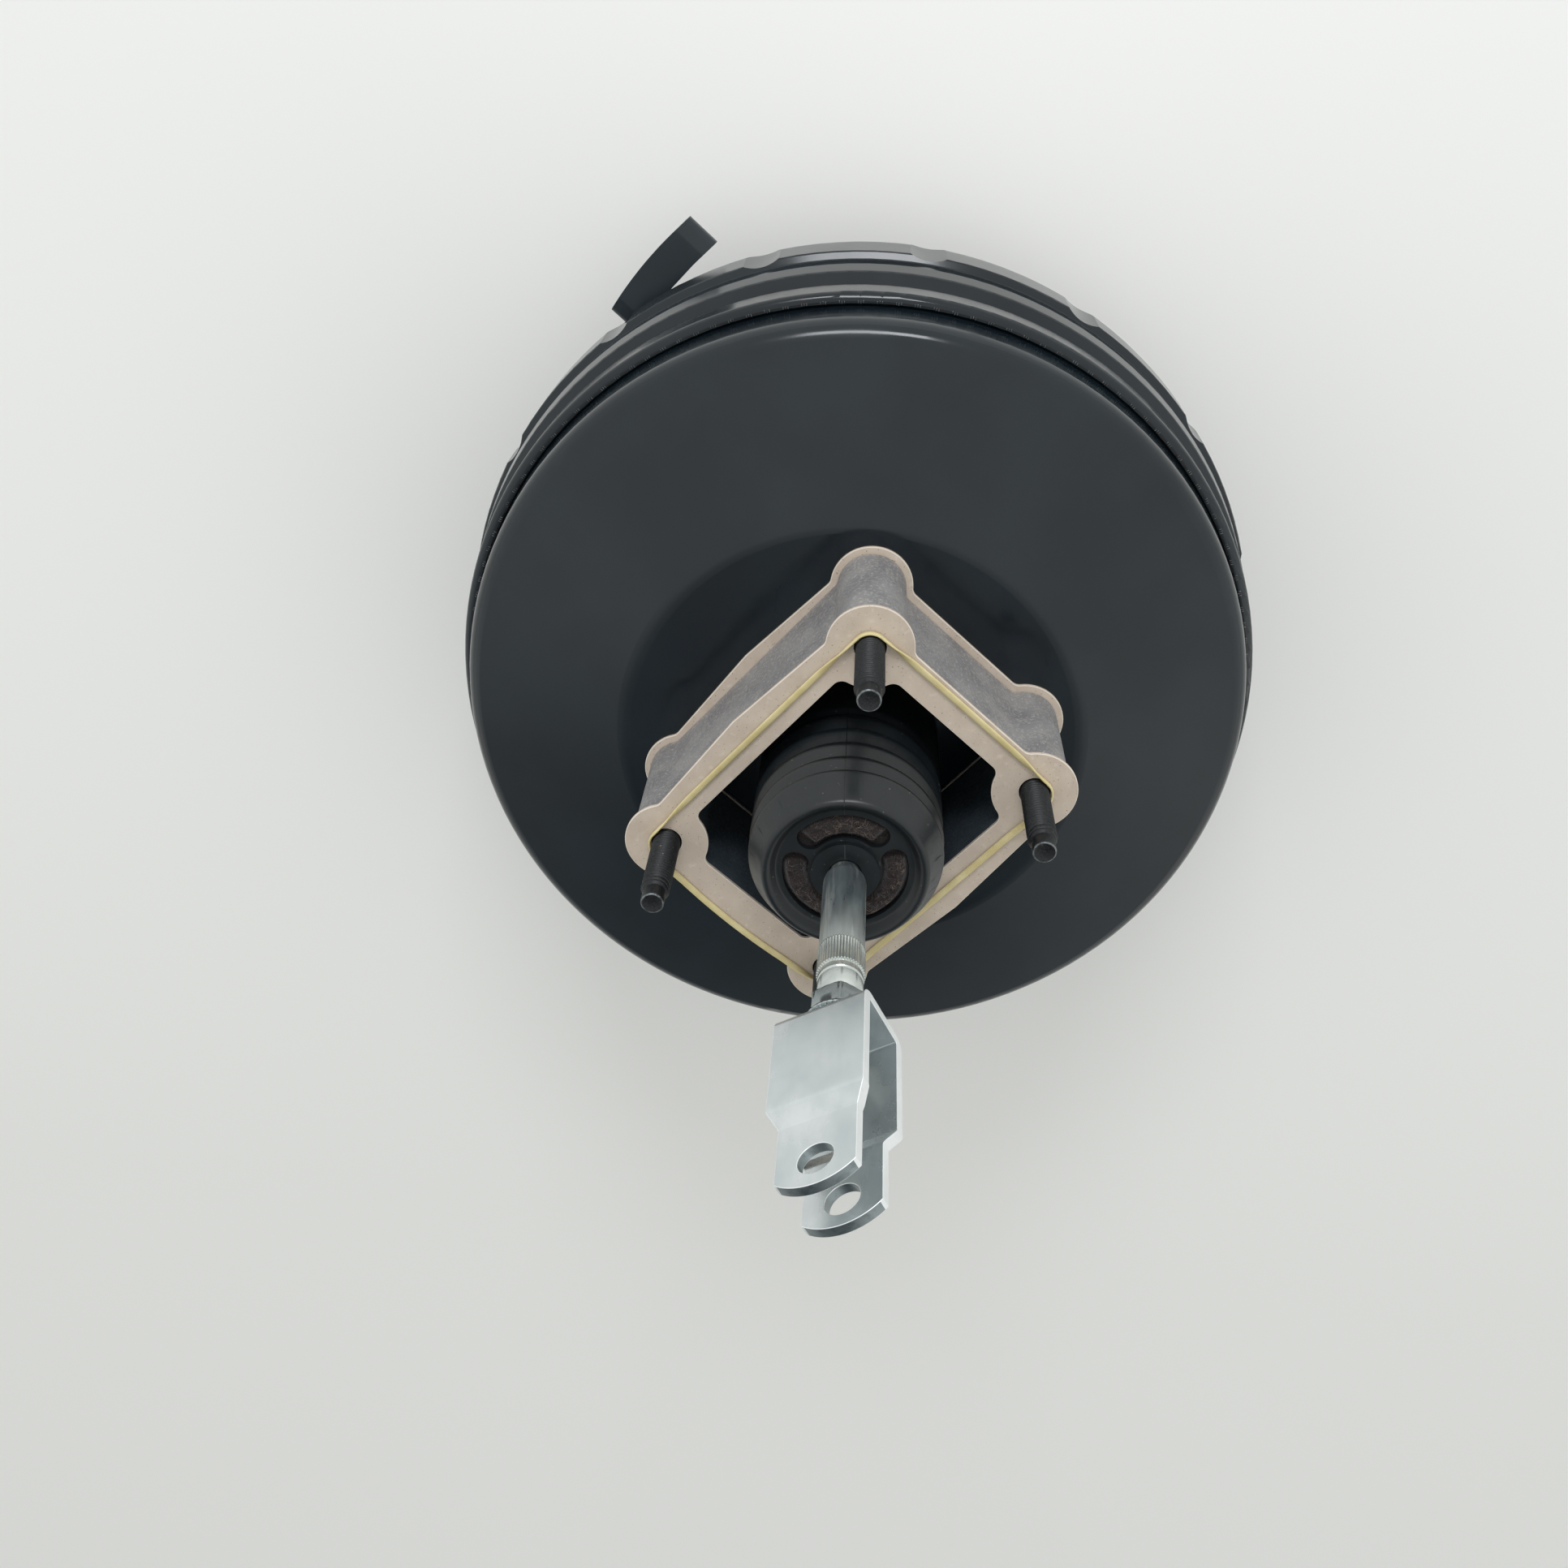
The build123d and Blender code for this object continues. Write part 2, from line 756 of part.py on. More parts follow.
# ---------------------------------------------------------------- valve body and its pieces
with BuildPart() as valve_body:
    revolve(
        turned(
            (chamber_dia / 2, hub_reach),
            (hub_dia / 2 - 0.8, hub_reach),
            (hub_dia / 2, hub_reach - 0.8),
            (hub_dia / 2, z_core),
            (core_dia / 2, z_core),
            (core_dia / 2, z_flange),
            (piston_flange_dia / 2, z_flange),
            (piston_flange_dia / 2, z_flange_front),
            (nose_dia / 2, z_flange_front),
            (nose_dia / 2, z_nose),
            (disc_pocket_dia / 2, z_nose),
            (disc_pocket_dia / 2, z_disc),
            (stem_bore_dia / 2, z_disc),
            (stem_bore_dia / 2, plunger_bore_end_z),
            (plunger_dia / 2 + slip_gap, plunger_bore_end_z),
            (plunger_dia / 2 + slip_gap, air_port_z - air_port_dia / 2),
            (vacuum_seat_dia / 2, air_port_z - air_port_dia / 2),
            (vacuum_seat_dia / 2, z_vacuum_seat),
            (vacuum_seat_dia / 2 + vacuum_seat_t, z_vacuum_seat),
            (vacuum_seat_dia / 2 + vacuum_seat_t, chamber_floor_z),
            (lower_chamber_dia / 2, chamber_floor_z),
            (lower_chamber_dia / 2, chamber_step_z),
            (chamber_dia / 2, chamber_step_z),
        ),
        axis=Axis.Z,
    )
    with BuildSketch(Plane.XY.offset(z_flange_front)):
        with PolarLocations(vacuum_port_pitch / 2, vacuum_port_count, start_angle=45):
            Circle(vacuum_port_dia / 2)
    extrude(amount=chamber_floor_z + vacuum_port_dia - z_flange_front, mode=Mode.SUBTRACT)
    with BuildSketch(Plane.YZ):
        with Locations((0, air_port_z)):
            Circle(air_port_dia / 2)
        with Locations((0, key_z + key_t / 2)):
            Rectangle(key_w + 2 * slip_gap, key_t + 2 * slip_gap)
    extrude(amount=core_dia / 2, both=True, mode=Mode.SUBTRACT)
valve_body.part.label = "valve_body"
export_step(valve_body.part, "parts/valve_body.step")

with BuildPart() as valve_key:
    with BuildSketch(Plane.XY.offset(key_z)):
        Circle(core_dia / 2 - 2 * touch_gap)
        Rectangle(core_dia, key_w, mode=Mode.INTERSECT)
        with Locations((-core_dia / 2, 0)):
            slot_w = key_groove_dia + 2 * slip_gap
            SlotOverall(core_dia + slot_w, slot_w, mode=Mode.SUBTRACT)
    extrude(amount=key_t)
valve_key.part.label = "valve_key"
export_step(valve_key.part, "parts/valve_key.step")

with BuildPart() as reaction_disc:
    revolve(ring(0, disc_dia, z_nose + head_t + slip_gap, z_disc - slip_gap), axis=Axis.Z)
reaction_disc.part.label = "reaction_disc"
export_step(reaction_disc.part, "parts/reaction_disc.step")

with BuildPart() as output_rod:
    tip_z = z_boss - output_past
    revolve(
        turned(
            (0, z_nose + head_t),
            (disc_pocket_dia / 2 - slip_gap, z_nose + head_t),
            (disc_pocket_dia / 2 - slip_gap, z_nose),
            (output_rod_dia / 2 + 2, z_nose),
            (output_rod_dia / 2, z_nose - 4),
            (output_rod_dia / 2, tip_z + output_tip_len),
            (output_tip_dia / 2, tip_z + output_tip_len - 1),
            (output_tip_dia / 2, tip_z + 1.6),
            (output_tip_dia / 2 - 1.4, tip_z + 0.4),
            (0, tip_z),
        ),
        axis=Axis.Z,
    )
output_rod.part.label = "output_rod"
export_step(output_rod.part, "parts/output_rod.step")

with BuildPart() as poppet_retainer:
    outer_r = chamber_dia / 2 - slip_gap
    revolve(
        turned(
            (retainer_hole_dia / 2, z_retainer),
            (outer_r, z_retainer),
            (outer_r, z_retainer + retainer_h),
            (outer_r - retainer_t, z_retainer + retainer_h),
            (outer_r - retainer_t, z_retainer + retainer_t),
            (retainer_hole_dia / 2, z_retainer + retainer_t),
        ),
        axis=Axis.Z,
    )
poppet_retainer.part.label = "poppet_retainer"
export_step(poppet_retainer.part, "parts/poppet_retainer.step")

with BuildPart() as poppet:
    tube_r = poppet_tube_dia / 2
    lip_top = poppet_z + poppet_t
    revolve(
        turned(
            (tube_r - poppet_t, z_poppet_bead + poppet_bead_h),
            (chamber_dia / 2 - 2 * slip_gap, z_poppet_bead + poppet_bead_h),
            (chamber_dia / 2 - 2 * slip_gap, z_poppet_bead),
            (tube_r, z_poppet_bead),
            (tube_r, lip_top),
            (poppet_lip_dia / 2, lip_top),
            (poppet_lip_dia / 2, poppet_z),
            (poppet_hole_dia / 2, poppet_z),
            (poppet_hole_dia / 2, lip_top),
            (tube_r - poppet_t, lip_top),
        ),
        axis=Axis.Z,
    )
poppet.part.label = "poppet"
export_step(poppet.part, "parts/poppet.step")


# ---------------------------------------------------------------- pedal rod
with BuildPart() as valve_plunger:
    socket_r = ball_dia / 2 + slip_gap
    plunger_low = z_plunger - plunger_len
    with BuildSketch(Plane.XZ):
        with BuildLine():
            Polyline(
                (0, ball_z - socket_r),
                (0, z_stem_end),
                (stem_dia / 2, z_stem_end),
                (stem_dia / 2, z_key_groove),
                (key_groove_dia / 2, z_key_groove),
                (key_groove_dia / 2, key_z + key_t + valve_travel + slip_gap),
                (stem_dia / 2, key_z + key_t + valve_travel + slip_gap),
                (stem_dia / 2, plunger_low),
                (plunger_dia / 2, plunger_low),
                (plunger_dia / 2, z_plunger - plunger_flange_t),
                (plunger_flange_dia / 2, z_plunger - plunger_flange_t),
                (plunger_flange_dia / 2, z_plunger),
                (socket_r, z_plunger),
                (socket_r, ball_z),
            )
            RadiusArc((socket_r, ball_z), (0, ball_z - socket_r), socket_r)
        make_face()
    revolve(axis=Axis.Z)
valve_plunger.part.label = "valve_plunger"
export_step(valve_plunger.part, "parts/valve_plunger.step")

with BuildPart() as operating_rod:
    neck_r = neck_rod_dia / 2
    sleeve_r = sleeve_dia / 2
    groove_r = sleeve_r - sleeve_groove_w / 2
    thread_r = thread_dia / 2
    thread_end_z = clevis_bridge_z + clevis_sheet_t + thread_past
    with BuildSketch(Plane.XZ):
        with BuildLine():
            Polyline(
                (neck_r, ball_z + sqrt(ball_dia**2 / 4 - neck_r**2)),
                (neck_r, sleeve_z),
                (neck_r + 1.0, sleeve_z + 0.5),
                (sleeve_r, sleeve_z + 2.4),
                (sleeve_r, sleeve_groove_z - sleeve_groove_w / 2),
                (groove_r, sleeve_groove_z),
                (sleeve_r, sleeve_groove_z + sleeve_groove_w / 2),
                (sleeve_end_dia / 2, sleeve_end_z),
                (thread_r, sleeve_end_z + 0.6),
                (thread_r, thread_end_z - 1.0),
                (thread_r - 1.0, thread_end_z),
                (0, thread_end_z),
                (0, ball_z - ball_dia / 2),
            )
            ThreePointArc(
                (0, ball_z - ball_dia / 2),
                (ball_dia / 2, ball_z),
                (neck_r, ball_z + sqrt(ball_dia**2 / 4 - neck_r**2)),
            )
        make_face()
    revolve(axis=Axis.Z)
operating_rod.part.label = "operating_rod"
export_step(operating_rod.part, "parts/operating_rod.step")

with BuildPart() as rod_spring_seat:
    rod_seat_hole = neck_rod_dia + 2 * rest_gap
    revolve(ring(rod_seat_hole, rod_seat_dia, rod_seat_z, rod_seat_z + rod_seat_t), axis=Axis.Z)
rod_spring_seat.part.label = "rod_spring_seat"
export_step(rod_spring_seat.part, "parts/rod_spring_seat.step")

with BuildPart() as lock_nut:
    flange_low = z_nut - nut_flange_h
    with BuildSketch(Plane.XY.offset(flange_low - nut_hex_h)):
        RegularPolygon(nut_hex_af / 2, 6, major_radius=False)
    extrude(amount=nut_hex_h)
    revolve(
        turned(
            (0, flange_low - 1.2),
            (nut_hex_af / 2, flange_low - 1.2),
            (nut_flange_dia / 2, flange_low + 0.6),
            (nut_flange_dia / 2, z_nut),
            (0, z_nut),
        ),
        axis=Axis.Z,
    )
    revolve(
        ring(0, thread_dia + 2 * rest_gap, flange_low - nut_hex_h, z_nut),
        axis=Axis.Z,
        mode=Mode.SUBTRACT,
    )
lock_nut.part.label = "lock_nut"
export_step(lock_nut.part, "parts/lock_nut.step")


# ---------------------------------------------------------------- clevis
pin_dir = (cos(radians(clevis_turn + 90)), sin(radians(clevis_turn + 90)), 0)
width_dir = (cos(radians(clevis_turn)), sin(radians(clevis_turn)), 0)
fork_plane = Plane(origin=(0, 0, 0), x_dir=pin_dir, z_dir=width_dir)
side_plane = Plane(origin=(0, 0, 0), x_dir=width_dir, z_dir=(-pin_dir[0], -pin_dir[1], 0))

clevis_bends = [clevis_ear_bend, clevis_shoulder_bend, clevis_bend]

with BuildPart() as clevis:
    half_span = clevis_span / 2
    half_ear = clevis_ear_span / 2
    joggle_end_z = clevis_joggle_z + clevis_joggle_h
    with BuildSketch(fork_plane):
        with BuildLine():
            FilletPolyline(
                (-half_ear, clevis_end_z),
                (-half_ear, joggle_end_z),
                (-half_span, clevis_joggle_z),
                (-half_span, clevis_bridge_z),
                (half_span, clevis_bridge_z),
                (half_span, clevis_joggle_z),
                (half_ear, joggle_end_z),
                (half_ear, clevis_end_z),
                radius=clevis_bends + clevis_bends[::-1],
            )
            offset(amount=clevis_sheet_t, side=Side.LEFT)
        make_face()
    extrude(amount=clevis_w / 2, both=True)
    with BuildSketch(side_plane):
        with BuildLine():
            arc_start = (clevis_ear_w / 2, clevis_corner_z)
            arc_end = (-clevis_ear_w / 2, clevis_corner_z)
            Polyline(
                arc_end,
                (-clevis_ear_w / 2, joggle_end_z),
                (-clevis_w / 2, clevis_joggle_z),
                (-clevis_w / 2, clevis_bridge_z),
                (clevis_w / 2, clevis_bridge_z),
                (clevis_w / 2, clevis_joggle_z),
                (clevis_ear_w / 2, joggle_end_z),
                arc_start,
            )
            ThreePointArc(arc_start, (0, clevis_end_z), arc_end)
        make_face()
    extrude(amount=clevis_span, both=True, mode=Mode.INTERSECT)
    with BuildSketch(side_plane):
        with Locations((0, clevis_pin_z)):
            Circle(clevis_pin_dia / 2)
    extrude(amount=clevis_span, both=True, mode=Mode.SUBTRACT)
    with BuildSketch(Plane.XY.offset(clevis_bridge_z)):
        Circle(thread_dia / 2 + slip_gap)
    extrude(amount=clevis_sheet_t, mode=Mode.SUBTRACT)
clevis.part.label = "clevis"
export_step(clevis.part, "parts/clevis.step")


# ---------------------------------------------------------------- boot and filters
fold_points = []
for fold in range(boot_fold_count):
    crest_z = boot_crest_z - (boot_fold_count - 1 - fold) * boot_fold_pitch
    fold_points.append((boot_crest_r - boot_fold_depth, crest_z - boot_fold_pitch / 2))
    fold_points.append((boot_crest_r, crest_z))

with BuildPart() as boot:
    boot_line = [(boot_skirt_r, z_seat + boot_base_gap)]
    boot_line += [(boot_skirt_r, fold_points[0][1] - boot_fold_pitch / 4)]
    boot_line += fold_points
    boot_line += [
        (boot_crest_r - boot_fold_depth, boot_crease_z),
        (boot_crest_r, boot_widest_z),
        (boot_end_dia / 2, boot_reach),
        (boot_floor_dia / 2, z_boot_floor),
        (boot_collar_dia / 2 - boot_collar_lap, z_boot_floor),
    ]
    boot_radii = [boot_skirt_fillet]
    boot_radii += [boot_valley_fillet, boot_crest_fillet] * boot_fold_count
    boot_radii += [boot_crease_fillet, boot_crest_fillet, boot_crest_fillet, boot_valley_fillet]
    revolve(pressed(boot_line, boot_radii, boot_t, Side.LEFT), axis=Axis.Z)
    collar = ring(
        neck_rod_dia + 2 * boot_collar_gap,
        boot_collar_dia,
        z_boot_floor - boot_t,
        z_boot_floor - boot_t + boot_collar_h,
    )
    revolve(collar, axis=Axis.Z)
    with BuildSketch(Plane.XY.offset(z_boot_floor)):
        with PolarLocations(0, vent_count, start_angle=vent_turn):
            vent_mid_r = (vent_inner_dia + vent_outer_dia) / 4
            vent_w = (vent_outer_dia - vent_inner_dia) / 2
            SlotArc(CenterArc((0, 0), vent_mid_r, -vent_sweep / 2, vent_sweep), vent_w)
    extrude(amount=-boot_t, mode=Mode.SUBTRACT)
boot.part.label = "boot"
export_step(boot.part, "parts/boot.step")

with BuildPart() as silencer_felt:
    revolve(ring(filter_hole_dia, felt_dia, z_felt, z_felt + felt_t), axis=Axis.Z)
silencer_felt.part.label = "silencer_felt"
export_step(silencer_felt.part, "parts/silencer_felt.step")

with BuildPart() as air_filter:
    filter_top = hub_reach - touch_gap
    revolve(
        ring(filter_hole_dia, chamber_dia - 2 * touch_gap, filter_top - filter_len, filter_top),
        axis=Axis.Z,
    )
air_filter.part.label = "air_filter"
export_step(air_filter.part, "parts/air_filter.step")


# ---------------------------------------------------------------- springs
springs = {
    "return_spring": (return_dia, return_wire, z_bore, z_flange_front, return_turns),
    "rod_spring": (
        rod_spring_dia,
        rod_spring_wire,
        z_retainer + retainer_t,
        rod_seat_z,
        rod_spring_turns,
    ),
    "poppet_spring": (
        poppet_spring_dia,
        poppet_spring_wire,
        poppet_z + poppet_t,
        z_retainer,
        poppet_spring_turns,
    ),
}
for spring_name, spring_size in springs.items():
    with BuildPart() as spring:
        add(coil(*spring_size))
    spring.part.label = spring_name
    export_step(spring.part, f"parts/{spring_name}.step")


# ---------------------------------------------------------------- vacuum check valve
with BuildPart() as valve_grommet:
    lip_r = grommet_dia / 2
    hole_r = grommet_hole_dia / 2 - rest_gap
    inner_top = z_land + front_sheet_t + grommet_lip_t
    revolve(
        turned(
            (valve_neck_dia / 2, inner_top),
            (hole_r, inner_top),
            (hole_r + 1.6, z_land + front_sheet_t),
            (hole_r, z_land + front_sheet_t),
            (hole_r, z_land),
            (lip_r, z_land),
            (lip_r, z_valve + 0.6),
            (lip_r - 0.6, z_valve),
            (valve_neck_dia / 2, z_valve),
            plane=valve_plane,
        ),
        axis=valve_axis,
    )
valve_grommet.part.label = "valve_grommet"
export_step(valve_grommet.part, "parts/valve_grommet.step")

with BuildPart() as check_valve_body:
    neck_top = z_land + front_sheet_t + grommet_lip_t + valve_neck_past
    cavity_r = valve_body_dia / 2 - valve_wall
    cavity = turned(
        (0, z_valve_floor),
        (cavity_r, z_valve_floor),
        (cavity_r, z_check_spring),
        (0, z_check_spring),
        plane=valve_plane,
    )
    revolve(
        turned(
            (0, neck_top),
            (valve_neck_dia / 2 - rest_gap, neck_top),
            (valve_neck_dia / 2 - rest_gap, z_valve),
            (valve_body_dia / 2 + 1.2, z_valve),
            (valve_body_dia / 2 + 1.2, z_valve - valve_flange_t),
            (valve_body_dia / 2, z_valve - valve_flange_t),
            (valve_body_dia / 2, z_valve_end + 1.2),
            (valve_body_dia / 2 - 1.2, z_valve_end),
            (0, z_valve_end),
            plane=valve_plane,
        ),
        axis=valve_axis,
    )
    with BuildSketch(nozzle_plane):
        Circle(nozzle_root_dia / 2)
    extrude(amount=nozzle_root)
    with BuildSketch(nozzle_plane.offset(nozzle_root)):
        Circle(nozzle_dia / 2)
    extrude(amount=nozzle_len)
    chamfer(check_valve_body.edges().sort_by(Axis(valve_place, valve_along))[-1], nozzle_chamfer)
    revolve(cavity, axis=valve_axis, mode=Mode.SUBTRACT)
    with BuildSketch(nozzle_plane):
        Circle(nozzle_bore / 2)
    extrude(amount=nozzle_end, mode=Mode.SUBTRACT)
    # A post in the spring stops the disc at the end of its travel.
    with BuildSketch(Plane.XY.offset(z_check_post)):
        with Locations(valve_place):
            Circle(check_post_dia / 2)
    extrude(amount=z_check_spring - z_check_post)
    with BuildSketch(Plane.XY.offset(neck_top)):
        with Locations(valve_place):
            Circle(valve_neck_bore / 2)
    extrude(amount=z_valve_floor - neck_top, mode=Mode.SUBTRACT)
check_valve_body.part.label = "check_valve_body"
export_step(check_valve_body.part, "parts/check_valve_body.step")

with BuildPart() as check_valve_disc:
    with BuildSketch(Plane.XY.offset(z_check_disc)):
        with Locations(valve_place):
            Circle(check_disc_dia / 2)
    extrude(amount=-check_disc_t)
check_valve_disc.part.label = "check_valve_disc"
export_step(check_valve_disc.part, "parts/check_valve_disc.step")

check_coil = coil(
    check_spring_dia,
    check_spring_wire,
    z_check_spring,
    z_check_disc - check_disc_t,
    check_spring_turns,
)
with BuildPart() as check_valve_spring:
    with Locations(valve_place):
        add(check_coil)
check_valve_spring.part.label = "check_valve_spring"
export_step(check_valve_spring.part, "parts/check_valve_spring.step")
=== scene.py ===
# Looks of a tandem vacuum brake booster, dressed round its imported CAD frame.
# Everything is in metres in the frame's own axes: the firewall face is z = 0 and +Z points to the pedal. The
# dictionaries beside the code hold millimetres and degrees unless they say otherwise, and the code scales them once.

from math import cos, pi, radians, sin

import bmesh
import bpy
import numpy as np
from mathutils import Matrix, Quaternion, Vector


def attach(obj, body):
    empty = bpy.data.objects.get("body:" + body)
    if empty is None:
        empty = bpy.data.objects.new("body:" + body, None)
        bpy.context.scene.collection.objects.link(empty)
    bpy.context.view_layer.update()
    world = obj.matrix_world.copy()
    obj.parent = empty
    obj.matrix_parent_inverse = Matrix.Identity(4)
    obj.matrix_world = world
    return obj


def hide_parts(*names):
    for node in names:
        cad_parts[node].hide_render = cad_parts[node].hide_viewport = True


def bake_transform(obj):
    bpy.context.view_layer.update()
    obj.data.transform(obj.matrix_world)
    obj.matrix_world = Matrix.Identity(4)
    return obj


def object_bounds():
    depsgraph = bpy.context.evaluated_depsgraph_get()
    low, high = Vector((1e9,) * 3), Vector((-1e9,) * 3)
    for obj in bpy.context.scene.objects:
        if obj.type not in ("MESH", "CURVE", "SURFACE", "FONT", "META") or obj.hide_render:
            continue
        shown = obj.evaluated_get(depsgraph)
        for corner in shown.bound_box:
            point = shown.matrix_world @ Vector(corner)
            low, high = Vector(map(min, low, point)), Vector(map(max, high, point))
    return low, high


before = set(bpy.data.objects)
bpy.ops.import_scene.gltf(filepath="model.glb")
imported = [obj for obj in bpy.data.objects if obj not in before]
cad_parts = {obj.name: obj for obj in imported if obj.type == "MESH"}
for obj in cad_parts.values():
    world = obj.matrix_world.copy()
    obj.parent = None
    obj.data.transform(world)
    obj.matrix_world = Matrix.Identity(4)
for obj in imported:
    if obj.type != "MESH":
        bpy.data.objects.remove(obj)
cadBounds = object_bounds()
print("stage: frame loaded")

mm = 0.001
weld = {"surface": 0.0002, "cad": 0.002}  # points nearer than this are welded, on a new surface and on a node's copy
flatAngle = 1.0  # degrees under which neighbouring faces of a node's copy are made one
cadSharp = 35.0  # degrees past which an edge of a node's copy shades sharp
tiny = 1e-6  # keeps a division by a radius sound on the axis


# An sRGB hex colour as linear RGBA: c / 12.92 near black, ((c + 0.055) / 1.055) to the power 2.4 above it.
def linear(hexColour):
    channels = [int(hexColour[i:i + 2], 16) / 255 for i in (1, 3, 5)]
    return tuple(c / 12.92 if c <= 0.04045 else ((c + 0.055) / 1.055) ** 2.4 for c in channels) + (1.0,)


# One shader node with its settings, of which the named output is handed back. An input given as a socket is linked,
# a hex colour is made linear, and any other value is written in.
def addNode(tree, kind, output, inputs=None, **settings):
    node = tree.nodes.new(kind)
    for name, value in settings.items():
        setattr(node, name, value)
    for name, value in (inputs or {}).items():
        if isinstance(value, bpy.types.NodeSocket):
            tree.links.new(value, node.inputs[name])
        else:
            node.inputs[name].default_value = linear(value) if isinstance(value, str) else value
    return node.outputs[output]


# An empty node material: its tree, its Principled shader and the Object coordinates of the piece.
def startMaterial(name):
    material = bpy.data.materials.new(name)
    material.use_nodes = True
    tree = material.node_tree
    return material, tree, tree.nodes["Principled BSDF"], addNode(tree, "ShaderNodeTexCoord", "Object")


# Links the worked-out sockets to the shader and writes the even values on its own sockets.
def finishMaterial(tree, shader, linked, even):
    for name, socket in linked.items():
        tree.links.new(socket, shader.inputs[name])
    for name, value in even.items():
        shader.inputs[name].default_value = value


# A finish built up in coats over its base colour.
# patterns: noises by name, each with the width of its blobs in millimetres, its detail, its roughness, and for some
#     how the coordinates are scaled along each axis.
# coats: a pattern, or the letter of an axis for the place along it, the range over which the coat comes in, how much
#     of it there is at most, and its colour.
# rough: a pattern, the range it is read over, and the roughness at each end of that range, or nothing.
# bump: a pattern and its depth in millimetres, or nothing.
# even: values that are the same all over.
# A pixel of the render covers 0.3 to 0.5 mm of the booster. Crystals, scratches, moulded skins and felt hair are
# finer than that, so the patterns for them are drawn at 0.4 to 0.7 mm, as coarse as they need to show.
def coatedFinish(name, base, patterns, coats, rough, bump, even):
    material, tree, shader, place = startMaterial(name)
    sockets = {}
    for key, (size, detail, roughness, *scale) in patterns.items():
        where = place
        if scale:
            where = addNode(tree, "ShaderNodeMapping", "Vector", {"Vector": place, "Scale": scale[0]})
        settings = {"Vector": where, "Scale": 1 / (size * mm), "Detail": detail, "Roughness": roughness}
        sockets[key] = addNode(tree, "ShaderNodeTexNoise", "Fac", settings)
    colour = base
    for key, low, high, most, coat in coats:
        if key not in sockets:
            sockets[key] = addNode(tree, "ShaderNodeSeparateXYZ", key, {"Vector": place})
        reach = {"Value": sockets[key], "From Min": low, "From Max": high, "To Max": most}
        share = addNode(tree, "ShaderNodeMapRange", "Result", reach)
        colour = addNode(tree, "ShaderNodeMix", 2, {0: share, 6: colour, 7: coat}, data_type="RGBA")
    linked = {"Base Color": colour}
    if rough:
        key, low, high, first, last = rough
        reach = {"Value": sockets[key], "From Min": low, "From Max": high, "To Min": first, "To Max": last}
        linked["Roughness"] = addNode(tree, "ShaderNodeMapRange", "Result", reach)
    if bump:
        relief = {"Height": sockets[bump[0]], "Distance": bump[1] * mm}
        linked["Normal"] = addNode(tree, "ShaderNodeBump", "Normal", relief)
    finishMaterial(tree, shader, linked, even)
    return material


# A mesh from points in millimetres and faces with equal numbers of corners. Points that meet are welded, which closes
# seams and poles, and the faces are turned when the enclosed volume, the sum of a . (b x c) / 6, comes out negative.
# A single face encloses nothing and keeps its way.
def meshPiece(name, points, faces, materials, faceSlots=None, sharpAngle=40.0):
    points = np.asarray(points, float).reshape(-1, 3) * mm
    first = points[faces[:, 0]]
    volume = sum(
        np.einsum("ij,ij->", first, np.cross(points[faces[:, k]], points[faces[:, k + 1]]))
        for k in range(1, faces.shape[1] - 1)
    )
    if volume < 0 and len(faces) > 1:
        faces = faces[:, ::-1]
    mesh = bpy.data.meshes.new(name)
    mesh.vertices.add(len(points))
    mesh.vertices.foreach_set("co", points.astype(np.float32).ravel())
    mesh.loops.add(faces.size)
    mesh.loops.foreach_set("vertex_index", faces.astype(np.int32).ravel())
    mesh.polygons.add(len(faces))
    mesh.polygons.foreach_set("loop_start", np.arange(0, faces.size, faces.shape[1], dtype=np.int32))
    if faceSlots is not None:
        mesh.polygons.foreach_set("material_index", np.asarray(faceSlots, dtype=np.int32).ravel())
    mesh.update(calc_edges=True)
    return finishMesh(name, mesh, materials, weld["surface"], sharpAngle)


# Gives a mesh its materials, welds it, with its flat areas dissolved where asked, shades it smooth with sharp edges
# past an angle, and puts it in the scene.
def finishMesh(name, mesh, materials, distance, sharpAngle, dissolved=False):
    for material in materials:
        mesh.materials.append(material)
    mesh.polygons.foreach_set("use_smooth", np.ones(len(mesh.polygons), dtype=bool))
    work = bmesh.new()
    work.from_mesh(mesh)
    bmesh.ops.remove_doubles(work, verts=work.verts, dist=distance * mm)
    if dissolved:
        bmesh.ops.dissolve_limit(work, angle_limit=radians(flatAngle), verts=work.verts, edges=work.edges)
    work.to_mesh(mesh)
    work.free()
    mesh.validate()
    mesh.set_sharp_from_angle(angle=radians(sharpAngle))
    piece = bpy.data.objects.new(name, mesh)
    bpy.context.collection.objects.link(piece)
    return piece


# A merged copy of a CAD node's mesh. Its flat areas are dissolved where it gets a small bevel on its sharp edges.
def mergedCopy(name, node, materials, dissolved=True):
    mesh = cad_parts[node].data.copy()
    mesh.name = name
    mesh.transform(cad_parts[node].matrix_world)
    mesh.materials.clear()
    return finishMesh(name, mesh, materials, weld["cad"], cadSharp, dissolved)


# An attribute of a mesh's vertices or faces as rows of three numbers, such as their places.
def readRows(items, attribute):
    rows = np.empty(len(items) * 3)
    items.foreach_get(attribute, rows)
    return rows.reshape(-1, 3)


# A rounded edge of the given width, in millimetres, wherever two faces meet more sharply than the angle. The new
# faces take the piece's material of the given index, or their neighbour's for -1.
def softenEdges(piece, width, steps=2, angle=40.0, slot=-1):
    bevel = piece.modifiers.new("roundedEdges", "BEVEL")
    bevel.width = width * mm
    bevel.segments = steps
    bevel.limit_method = "ANGLE"
    bevel.angle_limit = radians(angle)
    bevel.use_clamp_overlap = True
    bevel.harden_normals = True
    bevel.material = slot


